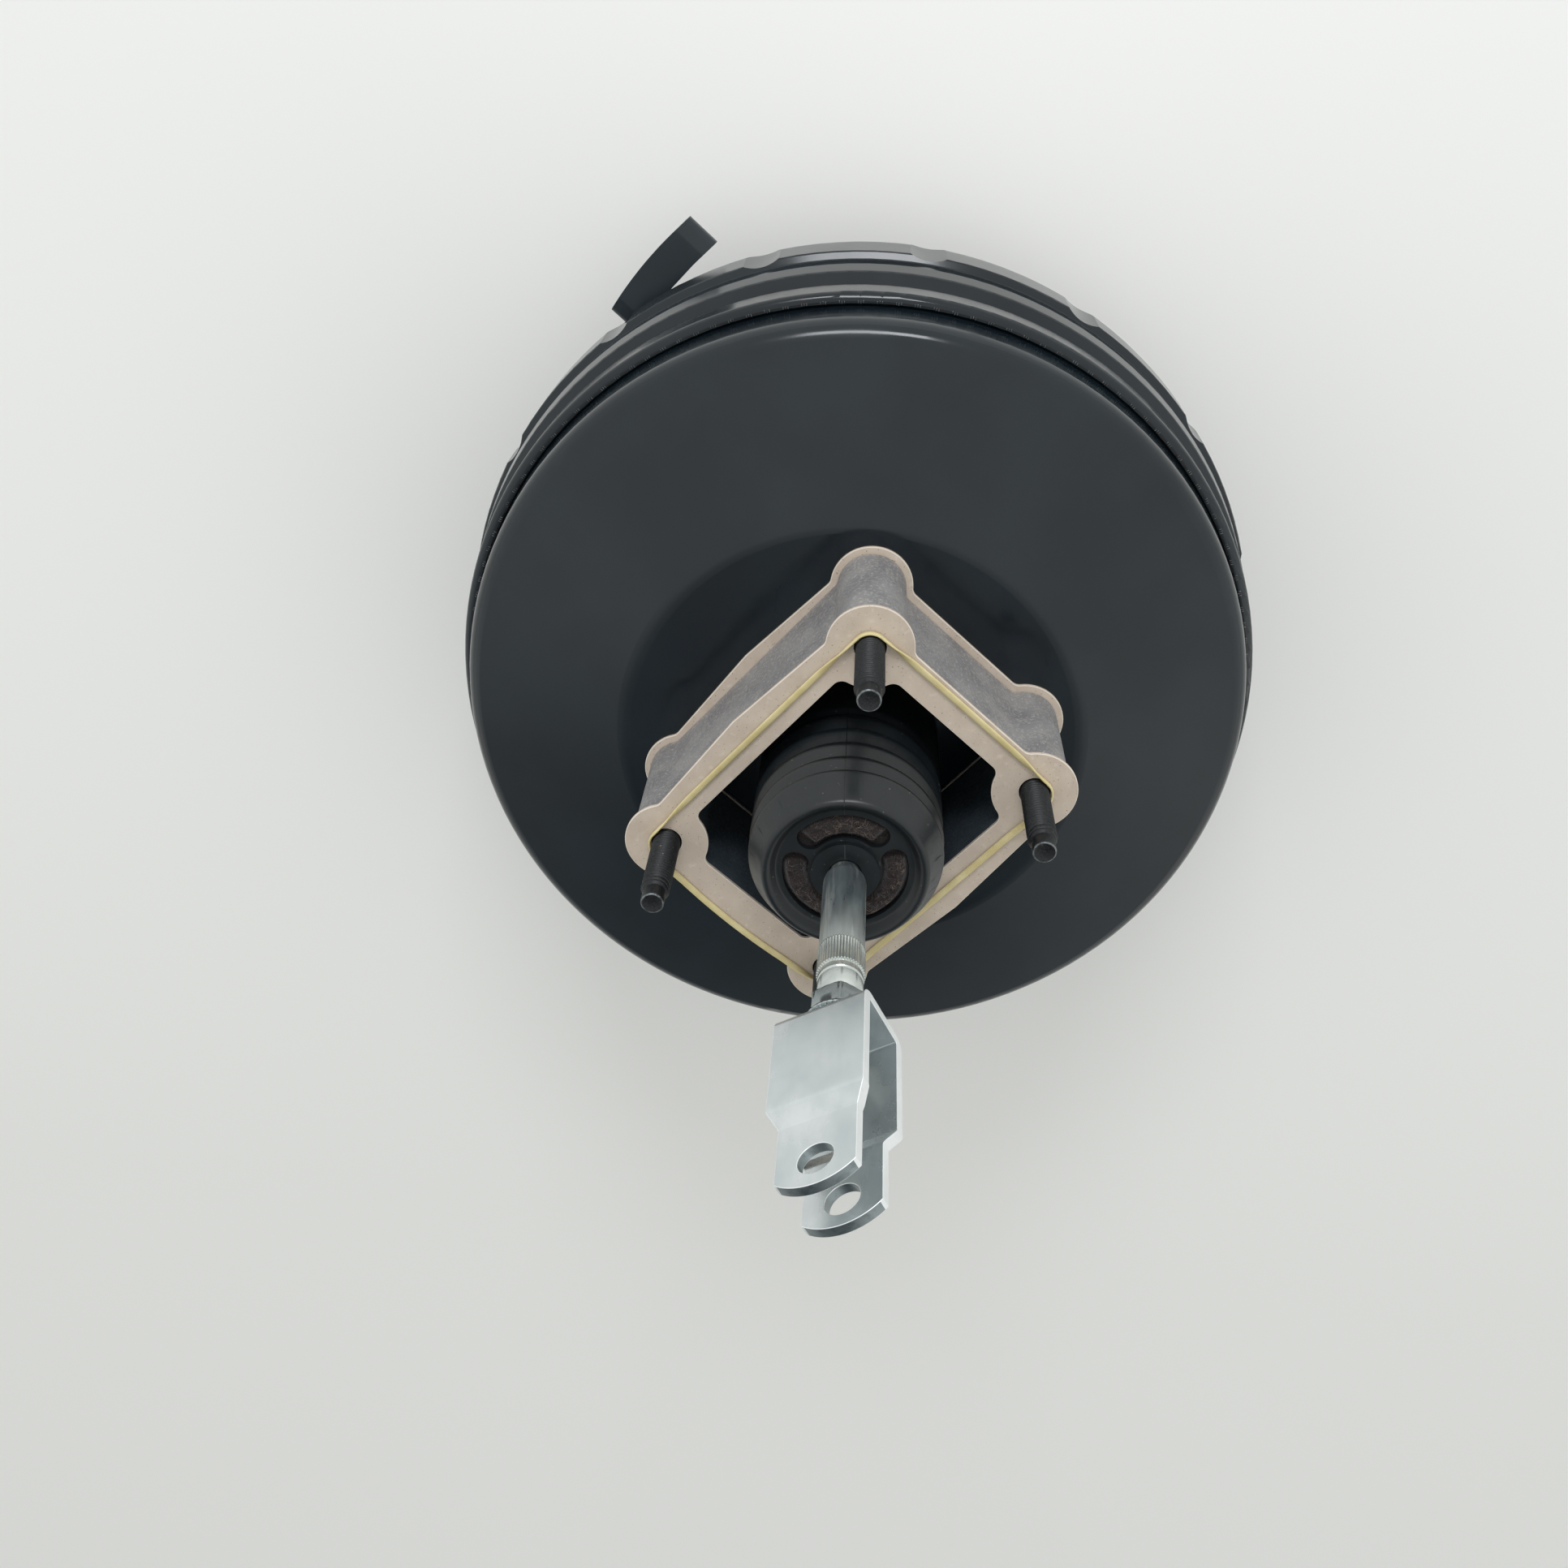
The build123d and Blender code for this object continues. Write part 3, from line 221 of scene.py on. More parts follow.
# Quads between neighbouring points of a grid stored row by row. Each row closes round, and so do the rows if asked.
def gridFaces(rows, columns, closeRows=False):
    i, j = np.meshgrid(np.arange(rows if closeRows else rows - 1), np.arange(columns), indexing="ij")
    nextI = (i + 1) % rows
    nextJ = (j + 1) % columns
    quads = np.stack([i * columns + j, i * columns + nextJ, nextI * columns + nextJ, nextI * columns + j], -1)
    return quads.reshape(-1, 4)


# The angles of a full turn in equal steps.
def fullTurn(columns):
    return np.arange(columns) * 2 * pi / columns


# Points of a turned piece about an axis parallel to Z: (cx + r cos t, cy + r sin t, z), with r and z by row or by
# point.
def turnedPoints(radius, height, angle, centre=(0.0, 0.0)):
    x = centre[0] + radius * np.cos(angle)
    y = centre[1] + radius * np.sin(angle)
    return np.stack([x, y, np.broadcast_to(height, x.shape)], -1)


# 0 below low, 1 above high, and the cubic 3t^2 - 2t^3 between.
def smoothStep(value, low, high):
    t = np.clip((value - low) / (high - low), 0, 1)
    return t * t * (3 - 2 * t)


paintLook = {"deep": "#0f171d", "shallow": "#151f25", "gloss": 0.12, "haze": 0.2, "peel": 2.4, "depth": 0.003}
bracketLook = dict(paintLook, deep="#1b252b", shallow="#232d33", gloss=0.3, haze=0.42)


# Cathodic electrocoat on pressed steel, baked: the film levels as it cures, so it is a glossy blue-black
# with a faint orange peel, hazier where it was handled.
def electrocoat(name, look):
    patterns = {"cloud": (40, 3.0, 0.5), "handled": (22, 4.0, 0.5), "peel": (look["peel"], 1.0, 0.5)}
    coats = [("cloud", 0.35, 0.65, 1.0, look["shallow"])]
    rough = ("handled", 0.35, 0.7, look["gloss"], look["haze"])
    return coatedFinish(name, look["deep"], patterns, coats, rough, ("peel", look["depth"]), {"IOR": 1.46})


castingLook = {"dark": "#828082", "pale": "#9a9898", "flake": "#d4d4d0", "dust": "#a69f95", "grain": 0.9}
# The inside look is painted shade: a darker, bluer casting for the walls inside the frame.
shadedInsideCastingLook = dict(castingLook, dark="#39424a", pale="#434d55", flake="#59636a", dust="#4a5157")


# Aluminium die casting, shot blasted: a grey skin of small dents that glitter, dusty in its hollows. A darker
# blue-grey look paints shade on its inside walls. The dents are finer than a pixel, and are drawn at 0.9 mm so that
# they glitter.
def blastedCasting(name, look):
    patterns = {"grain": (look["grain"], 3.0, 0.7), "stain": (11, 4.0, 0.5), "dust": (5, 5.0, 0.65)}
    coats = [
        ("stain", 0.35, 0.65, 1.0, look["pale"]),
        ("dust", 0.56, 0.72, 0.6, look["dust"]),
        ("grain", 0.52, 0.66, 0.5, look["flake"]),
    ]
    rough = ("grain", 0.4, 0.66, 0.62, 0.36)
    return coatedFinish(name, look["dark"], patterns, coats, rough, ("grain", 0.18), {"Metallic": 0.25})


gasketLook = {"body": "#bfb1a2", "cloud": "#cabdae", "speck": "#6b5c50", "pale": "#e2d8cc", "size": 0.55}
# The paler edge fibre is a painted highlight along the gaskets' cut edges.
litEdgeFibreLook = dict(gasketLook, body="#d6cbbd", cloud="#e4dbd0", speck="#a89a8b", pale="#efe8de")


# Calendered fibre gasket sheet: pinkish beige pulp, matt, with scattered dark and pale specks. The cut edge is
# painted paler, as a painted highlight.
def gasketSheet(name, look):
    patterns = {"cloud": (7, 3.0, 0.5), "speck": (look["size"], 1.0, 0.4), "thin": (2.2, 2.0, 0.5)}
    coats = [
        ("cloud", 0.3, 0.7, 1.0, look["cloud"]),
        ("thin", 0.6, 0.75, 0.35, look["pale"]),
        ("speck", 0.7, 0.75, 0.75, look["speck"]),
    ]
    even = {"Roughness": 0.88, "Specular IOR Level": 0.2}
    return coatedFinish(name, look["body"], patterns, coats, None, ("speck", 0.05), even)


# Steel with zinc plate and clear chromate: bright, slightly blue, clouded in patches, with fine drawing scratches.
# A look gives its two tones, the roughness of clean and clouded skin, and how the coordinates of clouds (drawn) and
# scratches (stretch) are scaled, so that they run out along an axis. A look with painted light turns paler between
# two heights and stays darker below the first, as painted shade.
def zincPlated(name, look):
    patterns = {
        "cloud": (look["cloud"], 4.0, 0.6, look["drawn"]),
        "scratch": (0.5, 3.0, 0.65, look["stretch"]),
        "streak": (2.4, 3.0, 0.6, look["stretch"]),
    }
    coats = [("cloud", 0.36, 0.64, 1.0, look["light"]), ("streak", 0.5, 0.68, look["streak"], look["stain"])]
    if "paintedLight" in look:
        coats.append(("Z", look["paintedLight"][0] * mm, look["paintedLight"][1] * mm, 0.5, look["litTone"]))
    rough = ("cloud", 0.3, 0.7, look["shine"], look["dull"])
    bump = ("scratch", look["depth"])
    return coatedFinish(name, look["dark"], patterns, coats, rough, bump, {"Metallic": look["metal"]})


sheetZinc = {
    "dark": "#c6ced0", "light": "#dce1e2", "stain": "#a6afb1", "streak": 0.1, "cloud": 14, "metal": 0.85,
    "shine": 0.2, "dull": 0.32, "depth": 0.005, "stretch": (1.0, 1.0, 0.25), "drawn": (1.0, 1.0, 0.6),
}
# The sheared look is the duller steel of a sheared edge, and also painted shade on the clevis's round ends and holes.
shearedShadedZinc = dict(sheetZinc, dark="#7f888b", light="#98a1a2", stain="#5d6668", streak=0.5, shine=0.26, dull=0.4)
# The bright look is a painted highlight on the clevis's arrises and long cut sides.
highlightArrisZinc = dict(sheetZinc, dark="#dfe4e4", light="#eceff0", stain="#c8cdcd", metal=0.55, shine=0.34, dull=0.42)
# The sleeve is painted paler from 50 to 64 mm up, away from the boot: painted light, with painted shade near the
# boot.
sleeveZinc = {
    "dark": "#596266", "light": "#788284", "stain": "#aab1ae", "streak": 0.85, "cloud": 4, "metal": 0.6,
    "shine": 0.24, "dull": 0.42, "depth": 0.01, "stretch": (1.0, 1.0, 0.08), "drawn": (1.0, 1.0, 0.2),
    "paintedLight": (50.0, 64.0), "litTone": "#a9ada9",
}
nutZinc = {
    "dark": "#a2abad", "light": "#bac2c2", "stain": "#7c8587", "streak": 0.3, "cloud": 6, "metal": 0.95,
    "shine": 0.1, "dull": 0.18, "depth": 0.003, "stretch": (1.0, 1.0, 1.0), "drawn": (1.0, 1.0, 1.0),
}
turnedZinc = dict(
    nutZinc, dark="#bcc2bf", light="#d5dad6", stain="#a5aba8", streak=0.2, cloud=8, metal=0.8, shine=0.15, dull=0.26,
    depth=0.006, stretch=(0.2, 0.2, 1.0),
)
insideZinc = dict(
    nutZinc, dark="#8d9496", light="#aeb4b4", stain="#6f7779", cloud=14, metal=0.9, shine=0.3, dull=0.42, depth=0.008,
)
# Oil-tempered spring wire: dark grey drawn steel under a film of oil.
springLook = dict(
    nutZinc, dark="#3b3c3f", light="#55565a", stain="#6d6e70", cloud=5, metal=0.9, shine=0.28, dull=0.4, depth=0.006,
)


phosphateLook = {"dark": "#1b1c1e", "pale": "#2b2d2f", "dust": "#77736c", "grain": 0.5}


# Manganese phosphate, oiled: a near-black crystal skin with a low sheen and specks of caught dust.
def blackPhosphate(name, look):
    patterns = {"grain": (look["grain"], 2.0, 0.5), "fleck": (0.9, 2.0, 0.4)}
    coats = [("grain", 0.35, 0.65, 1.0, look["pale"]), ("fleck", 0.71, 0.76, 0.7, look["dust"])]
    rough = ("grain", 0.3, 0.7, 0.36, 0.52)
    return coatedFinish(name, look["dark"], patterns, coats, rough, ("grain", 0.02), {"Metallic": 0.5})


paleSteelLook = {"dark": "#4c5053", "pale": "#7f8485", "size": 1.2}


# Bare steel where a staking tool has cut the black: grey and patchy. On the studs' dog rims and last ring the same
# pale steel is a painted highlight.
def paleSteelFinish(name, look):
    coats = [("patch", 0.38, 0.62, 1.0, look["pale"])]
    rough = ("patch", 0.3, 0.7, 0.28, 0.45)
    patterns = {"patch": (look["size"], 3.0, 0.6)}
    return coatedFinish(name, look["dark"], patterns, coats, rough, ("patch", 0.01), {"Metallic": 0.8})


bootLook = {
    "dark": "#111619", "light": "#181d20", "dust": "#75716a", "rough": 0.33, "bloomed": 0.41, "gloss": 0.5,
    "bloom": 11, "dusty": 0.5,
}
sealLook = dict(bootLook, dark="#131415", light="#1d1e20", rough=0.45, bloomed=0.53, gloss=0.45, bloom=8, dusty=0.0)


# Moulded rubber: an even skin off a blasted mould, with duller patches of bloom and specks of dust.
def mouldedRubber(name, look):
    patterns = {"bloom": (look["bloom"], 4.0, 0.5), "skin": (0.5, 2.0, 0.5), "dust": (1.1, 2.0, 0.4)}
    coats = [("bloom", 0.35, 0.7, 1.0, look["light"]), ("dust", 0.72, 0.78, look["dusty"], look["dust"])]
    rough = ("bloom", 0.3, 0.7, look["rough"], look["bloomed"])
    even = {"Specular IOR Level": look["gloss"]}
    return coatedFinish(name, look["dark"], patterns, coats, rough, ("skin", 0.012), even)


bandLook = {
    "body": "#d8cb9c", "deep": "#cabb86", "rough": 0.5, "glow": 0.15, "reach": 1.5, "share": (1.0, 0.8, 0.35),
}


# A thin latex band: pale translucent yellow, so light bleeds a little way through it.
def latexRubber(name, look):
    patterns = {"cloud": (6, 3.0, 0.5), "skin": (0.7, 2.0, 0.5)}
    coats = [("cloud", 0.35, 0.65, 1.0, look["deep"])]
    even = {
        "Roughness": look["rough"], "Subsurface Weight": look["glow"], "Subsurface Radius": look["share"],
        "Subsurface Scale": look["reach"] * mm,
    }
    return coatedFinish(name, look["body"], patterns, coats, None, ("skin", 0.02), even)


feltLook = {"deep": "#151112", "brown": "#2e2626", "hair": "#4c4241", "mat": 1.8, "strand": 0.4}


# Needled wool felt: tangled brown and grey hair with no gloss and a slight sheen at grazing angles.
def needledFelt(name, look):
    patterns = {"mat": (look["mat"], 5.0, 0.7), "strand": (look["strand"], 3.0, 0.6)}
    coats = [("mat", 0.35, 0.65, 1.0, look["brown"]), ("strand", 0.56, 0.68, 0.8, look["hair"])]
    even = {"Roughness": 0.95, "Sheen Weight": 0.3, "Specular IOR Level": 0.2}
    return coatedFinish(name, look["deep"], patterns, coats, None, ("strand", 0.35), even)


foamLook = {"cell": 1.1, "wall": (0.02, 0.22), "pale": "#3a3b3d", "deep": "#0e0f10", "depth": 0.5}


# Open-cell polyurethane filter foam: charcoal, with a pattern of cells whose walls stand up pale between them. The
# darker hollows of the cells are painted shade.
def filterFoam(name, look):
    material, tree, shader, place = startMaterial(name)
    cells = {"Vector": place, "Scale": 1 / (look["cell"] * mm)}
    inside = addNode(tree, "ShaderNodeTexVoronoi", "Distance", cells, feature="DISTANCE_TO_EDGE")
    reach = {"Value": inside, "From Min": look["wall"][0], "From Max": look["wall"][1]}
    hollow = addNode(tree, "ShaderNodeMapRange", "Result", reach)
    height = addNode(tree, "ShaderNodeMath", 0, {0: 1.0, 1: hollow}, operation="SUBTRACT")
    tone = addNode(tree, "ShaderNodeMix", 2, {0: hollow, 6: look["pale"], 7: look["deep"]}, data_type="RGBA")
    relief = addNode(tree, "ShaderNodeBump", "Normal", {"Height": height, "Distance": look["depth"] * mm})
    even = {"Roughness": 0.92, "Specular IOR Level": 0.2}
    finishMaterial(tree, shader, {"Base Color": tone, "Normal": relief}, even)
    return material


phenolicLook = {"dark": "#1a1613", "light": "#241e1a", "rough": 0.38, "clouded": 0.48, "ior": 1.6}
nylonLook = {"dark": "#141516", "light": "#1d1e1f", "rough": 0.44, "clouded": 0.54, "ior": 1.53}


# Injection-moulded plastic or phenolic, black: a fine spark-eroded grain over faint flow clouds.
def mouldedPlastic(name, look):
    patterns = {"grain": (0.5, 2.0, 0.5), "cloud": (9, 3.0, 0.5)}
    coats = [("cloud", 0.35, 0.65, 1.0, look["light"])]
    rough = ("cloud", 0.3, 0.7, look["rough"], look["clouded"])
    return coatedFinish(name, look["dark"], patterns, coats, rough, ("grain", 0.02), {"IOR": look["ior"]})


paint = electrocoat("blackElectrocoat", paintLook)
bracketPaint = electrocoat("satinBracketElectrocoat", bracketLook)
casting = blastedCasting("blastedAluminiumCasting", castingLook)
castingPaintedShade = blastedCasting("castingInsidePaintedShade", shadedInsideCastingLook)
gasketPulp = gasketSheet("fibreGasketSheet", gasketLook)
gasketEdgeHighlight = gasketSheet("gasketEdgePaintedHighlight", litEdgeFibreLook)
clevisZinc = zincPlated("zincPlatedSheet", sheetZinc)
clevisShearedShade = zincPlated("shearedZincEdgeAndPaintedShade", shearedShadedZinc)
clevisHighlight = zincPlated("zincArrisPaintedHighlight", highlightArrisZinc)
nutPlate = zincPlated("turnedZincNut", nutZinc)
rodZinc = zincPlated("zincPlatedRod", sleeveZinc)
brightZinc = zincPlated("turnedZincCollar", turnedZinc)
hiddenZinc = zincPlated("zincPlatedPressing", insideZinc)
springWire = zincPlated("oilTemperedWire", springLook)
phosphate = blackPhosphate("blackPhosphateSteel", phosphateLook)
bareAndHighlitSteel = paleSteelFinish("bareSteelAndPaintedHighlight", paleSteelLook)
bootRubber = mouldedRubber("mouldedBootRubber", bootLook)
sealRubber = mouldedRubber("nitrileSealRubber", sealLook)
latex = latexRubber("paleLatexBand", bandLook)
felt = needledFelt("needledSilencerFelt", feltLook)
foam = filterFoam("charcoalFilterFoam", foamLook)
phenolic = mouldedPlastic("phenolicMoulding", phenolicLook)
nylon = mouldedPlastic("glassFilledNylon", nylonLook)

nodeMaterials = [
    (paint, ["front_shell", "rear_shell"]),
    (bracketPaint, ["side_bracket"]),
    (casting, ["spacer"]),
    (gasketPulp, ["front_gasket", "rear_gasket"]),
    (phosphate, ["firewall_studs", "cylinder_studs"]),
    (clevisZinc, ["clevis"]),
    (brightZinc, ["lock_nut", "output_rod", "valve_plunger"]),
    (rodZinc, ["operating_rod"]),
    (hiddenZinc, [
        "divider_plate", "front_plate", "rear_piston_plate", "front_piston_plate",
        "rear_seal_retainer", "poppet_retainer", "rod_spring_seat", "valve_key",
    ]),
    (springWire, ["return_spring", "rod_spring", "poppet_spring", "check_valve_spring"]),
    (bootRubber, ["boot"]),
    (felt, ["silencer_felt"]),
    (foam, ["air_filter"]),
    (phenolic, ["valve_body"]),
    (nylon, ["check_valve_body"]),
    (sealRubber, [
        "rear_seal", "divider_seal", "rear_diaphragm", "front_diaphragm", "reaction_disc", "poppet",
        "valve_grommet", "check_valve_disc",
    ]),
]
for material, names in nodeMaterials:
    for name in names:
        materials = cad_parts[name].data.materials
        materials.clear()
        materials.append(material)
print("stage: materials")


threadForm = {"root": 0.2, "flank": 0.62}


# A thread's height across one pitch, 0 in the root and 1 on a short flat crest, with straight flanks between:
# (1 - |2 u - 1| - root) / flank, held between 0 and 1, where u is the part of a turn.
def threadCrest(turns):
    u = np.mod(turns, 1.0)
    return np.clip((1 - np.abs(2 * u - 1) - threadForm["root"]) / threadForm["flank"], 0, 1)


# "head" and "tip" are outlines, as places along the stud and radii. The head's are from the joint's face, and the
# tip's are from the end of the stud's reach. The places painted pale as a highlight are back from that end.
studSizes = {
    "head": [(-48.5, 0.0), (-48.5, 6.5), (-48.0, 7.0), (-46.2, 7.0), (-46.0, 6.8), (-46.0, 3.6), (-4.4, 3.6)],
    "tip": [
        (-7.6, 3.55), (-7.35, 3.85), (-7.0, 3.98), (-6.75, 3.86), (-6.6, 3.62), (-6.2, 3.6), (-5.9, 3.45),
        (-5.5, 3.0), (-5.3, 2.92), (-5.05, 2.95), (-4.85, 3.12), (-4.6, 3.2), (-0.6, 3.2), (-0.34, 3.15),
        (-0.12, 3.02), (0.0, 2.84), (-0.02, 2.72), (-0.12, 2.6), (-0.12, 0.0),
    ],
    "reach": 32.0, "threadStart": -4.0, "threadEnd": 24.2, "root": 3.46, "depth": 0.54, "pitch": 1.25, "fade": 1.4,
    "highlitRing": (7.4, 7.1), "highlitRim": 0.35, "rimRadius": 2.8, "rowsPerPitch": 8, "columns": 40,
    "turnApart": 1.1,  # radians from one stud's thread to the next one's
    "places": [(42.0, 31.5), (-42.0, 31.5), (-42.0, -31.5), (42.0, -31.5)],
}
cylinderStudSizes = dict(
    studSizes, reach=24.0, threadStart=2.0, threadEnd=16.2, places=[(38.0, 0.0), (-38.0, 0.0)],
    head=[(-4.3, 0.0), (-4.3, 6.5), (-3.8, 7.0), (-2.0, 7.0), (-1.8, 6.8), (-1.8, 3.6), (1.6, 3.6)],
)


# Threaded studs with a dog point. A stud is turned about its axis: r(a, t) = base(a) + depth(a) * crest, where the
# crest follows a / pitch - t / 2 pi, so it climbs one pitch a turn. The coordinate a runs from the joint's face
# outwards, and z = face + way * a. Last come a ring, a cone, the neck, and the dog, and the ring and the dog's rim
# are painted pale steel as a highlight.
def threadedStuds(name, sizes, face, way, replaced, body):
    reach, pitch, fade = sizes["reach"], sizes["pitch"], sizes["fade"]
    count = int((sizes["threadEnd"] - sizes["threadStart"]) / pitch * sizes["rowsPerPitch"])
    threadA = np.linspace(sizes["threadStart"], sizes["threadEnd"], count)
    head, tip = np.array(sizes["head"]), np.array(sizes["tip"]) + [reach, 0.0]
    a = np.concatenate([head[:, 0], threadA, tip[:, 0]])
    base = np.concatenate([head[:, 1], np.full(count, sizes["root"]), tip[:, 1]])
    depth = np.zeros(len(a))
    rising = smoothStep(threadA, sizes["threadStart"], sizes["threadStart"] + fade)
    falling = smoothStep(threadA, sizes["threadEnd"] - fade, sizes["threadEnd"])
    depth[len(head):len(head) + count] = sizes["depth"] * rising * (1 - falling)
    angle = fullTurn(sizes["columns"])
    radius = base[:, None] + depth[:, None] * threadCrest(a[:, None] / pitch - way * angle / (2 * pi))
    # The dog's rim and the ring before it take the pale steel as a painted highlight.
    paintedLight = (a[:-1] > reach - sizes["highlitRim"]) & (base[:-1] > sizes["rimRadius"])
    paintedLight |= (a[:-1] > reach - sizes["highlitRing"][0]) & (a[:-1] < reach - sizes["highlitRing"][1])
    points, allFaces = [], []
    for index, centre in enumerate(sizes["places"]):
        points.append(turnedPoints(radius, (face + way * a)[:, None], angle + index * sizes["turnApart"], centre))
        allFaces.append(gridFaces(len(a), len(angle)) + index * radius.size)
    slots = np.tile(np.repeat(paintedLight, len(angle)), len(points))
    piece = meshPiece(name, np.concatenate(points), np.concatenate(allFaces), [phosphate, bareAndHighlitSteel], slots, sharpAngle=50)
    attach(piece, body)
    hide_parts(replaced)


threadedStuds("threadedFirewallStuds", studSizes, 0.0, 1, "firewall_studs", "housing")
threadedStuds("threadedCylinderStuds", cylinderStudSizes, -161.7, -1, "cylinder_studs", "housing")
print("stage: studs")


spacerSizes = {"edge": 0.5, "upright": 0.5}


# The cast spacer is its node with the casting's rounded edges. Its inner walls, the upright faces that look towards
# the axis, take the darker casting as painted shade.
def castFrame(sizes):
    piece = mergedCopy("castSpacer", "spacer", [casting, castingPaintedShade])
    faces = piece.data.polygons
    normal, centre = readRows(faces, "normal"), readRows(faces, "center")
    inwards = ((normal * centre)[:, :2].sum(axis=1) < 0) & (np.abs(normal[:, 2]) < sizes["upright"])
    faces.foreach_set("material_index", inwards.astype(np.int32))
    softenEdges(piece, sizes["edge"])
    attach(piece, "housing")
    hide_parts("spacer")


castFrame(spacerSizes)


gasketSizes = {"edge": 0.22}


# Each die-cut gasket is its node with the knife's small roll on the edges, which are painted paler as a highlight.
def cutGasket(name, node, sizes):
    piece = mergedCopy(name, node, [gasketPulp, gasketEdgeHighlight])
    softenEdges(piece, sizes["edge"], slot=1)
    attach(piece, "housing")
    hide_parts(node)


cutGasket("rearCutGasket", "rear_gasket", gasketSizes)
cutGasket("frontCutGasket", "front_gasket", gasketSizes)
print("stage: spacer and gaskets")


bandSizes = {
    "halfX": 42.0, "halfY": 31.5, "round": 4.75, "low": 0.35, "thick": 0.7, "wide": 1.9, "bulge": 2.6, "slack": 0.25,
    "fullness": 0.8, "dip": 0.2, "lean": 0.1, "standing": (0.02, 0.2), "square": 4, "runSteps": 60,
    "cornerSteps": 14, "sectionSteps": 12,
}


# The latex band that holds the gasket on the studs: a rectangle with rounded corners round the four studs. A run
# swells outwards by swell * sin(pi s) to a power, most on the run at x = -halfX. Its section is a rounded rectangle,
# a power curve |cos|^n + |sin|^n = 1, that turns from lying flat on a run to standing against each stud.
def latexLoop(sizes):
    corner = np.linspace(0, pi / 2, sizes["cornerSteps"])[:, None]
    run = np.linspace(0, 1, sizes["runSteps"] + 2)[1:-1][:, None]
    studs = np.array([[1, 1], [-1, 1], [-1, -1], [1, -1]]) * [sizes["halfX"], sizes["halfY"]]
    line, outward, standing, slack = [], [], [], []
    for index in range(4):
        turn = corner + index * pi / 2
        normal = np.concatenate([np.cos(turn), np.sin(turn)], 1)
        start = studs[index] + sizes["round"] * normal
        end = studs[(index + 1) % 4] + sizes["round"] * normal[-1]
        swell = np.sin(pi * run) ** sizes["fullness"] * (sizes["bulge"] if index == 1 else sizes["slack"])
        line += [start, start[-1] + (end - start[-1]) * run + normal[-1] * swell]
        outward += [normal, np.repeat(normal[-1:], len(run), 0)]
        standing += [np.ones(len(turn)), 1 - smoothStep(np.minimum(run, 1 - run)[:, 0], *sizes["standing"])]
        slack += [np.zeros(len(turn)), swell[:, 0] / sizes["bulge"]]
    line, outward = np.concatenate(line), np.concatenate(outward)
    standing, slack = np.concatenate(standing)[:, None], np.concatenate(slack)[:, None]
    around = fullTurn(sizes["sectionSteps"]) + pi / sizes["sectionSteps"]
    power = sizes["square"]
    size = (np.abs(np.cos(around)) ** power + np.abs(np.sin(around)) ** power) ** (-1 / power) / 2
    across = np.cos(around) * size * sizes["wide"]
    up = np.sin(around) * size * sizes["thick"]
    tilt = (sizes["lean"] + (1 - sizes["lean"]) * standing) * pi / 2
    sectionX = np.cos(tilt) * across - np.sin(tilt) * up
    sectionZ = np.sin(tilt) * across + np.cos(tilt) * up
    z = sectionZ - sectionZ.min(axis=1)[:, None] + sizes["low"] - sizes["dip"] * slack
    x = line[:, :1] + outward[:, :1] * sectionX
    y = line[:, 1:] + outward[:, 1:] * sectionX
    faces = gridFaces(len(line), len(around), closeRows=True)
    piece = meshPiece("latexBand", np.stack([x, y, z], -1), faces, [latex], sharpAngle=70)
    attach(piece, "housing")


latexLoop(bandSizes)
print("stage: latex band")


# "shape" is the outline from the ball's neck to the thread, as heights and radii, and "end" is the thread's end. The
# plate is bright between two heights on the collar; on the knurl's lower crown, between two heights, and on the
# knurl's teeth the bright plate is a painted highlight.
rodSizes = {
    "ball": 5.5, "ballZ": -38.0, "neck": 4.0, "ballSteps": 20,
    "shape": [
        (0.0, 4.0), (29.0, 4.0), (31.6, 4.0), (32.0, 4.15), (32.4, 4.7), (33.2, 5.3), (34.6, 5.62), (35.4, 5.7),
        (45.0, 5.7), (56.0, 5.7), (65.5, 5.7), (65.9, 5.58), (66.0, 5.58), (66.35, 5.64), (66.7, 5.6), (71.0, 5.6),
        (75.1, 5.6), (75.45, 5.64), (75.8, 5.58), (75.95, 5.4), (76.2, 5.54), (76.5, 5.6), (78.2, 5.6), (78.4, 5.4),
        (78.6, 5.3), (78.9, 5.3), (79.1, 5.4), (79.3, 5.58), (81.0, 5.54), (82.5, 5.42), (83.9, 5.2), (84.5, 5.05),
        (84.75, 4.7), (84.9, 3.5),
    ],
    "end": [(107.4, 3.3), (108.1, 2.9), (108.1, 0.0)],
    "knurl": (66.0, 75.8), "crown": 0.35, "crownShare": 1.15, "crownHalf": 0.2, "teeth": 48, "toothDepth": 0.3,
    "toothSteps": 6, "toothGain": 1.6, "toothBase": 0.3, "bright": (75.0, 85.5), "highlitCrown": (65.8, 66.5),
    "thread": (85.1, 107.1), "threadRoot": 3.42, "threadDepth": 0.56, "pitch": 1.25, "rowsPerPitch": 7,
}


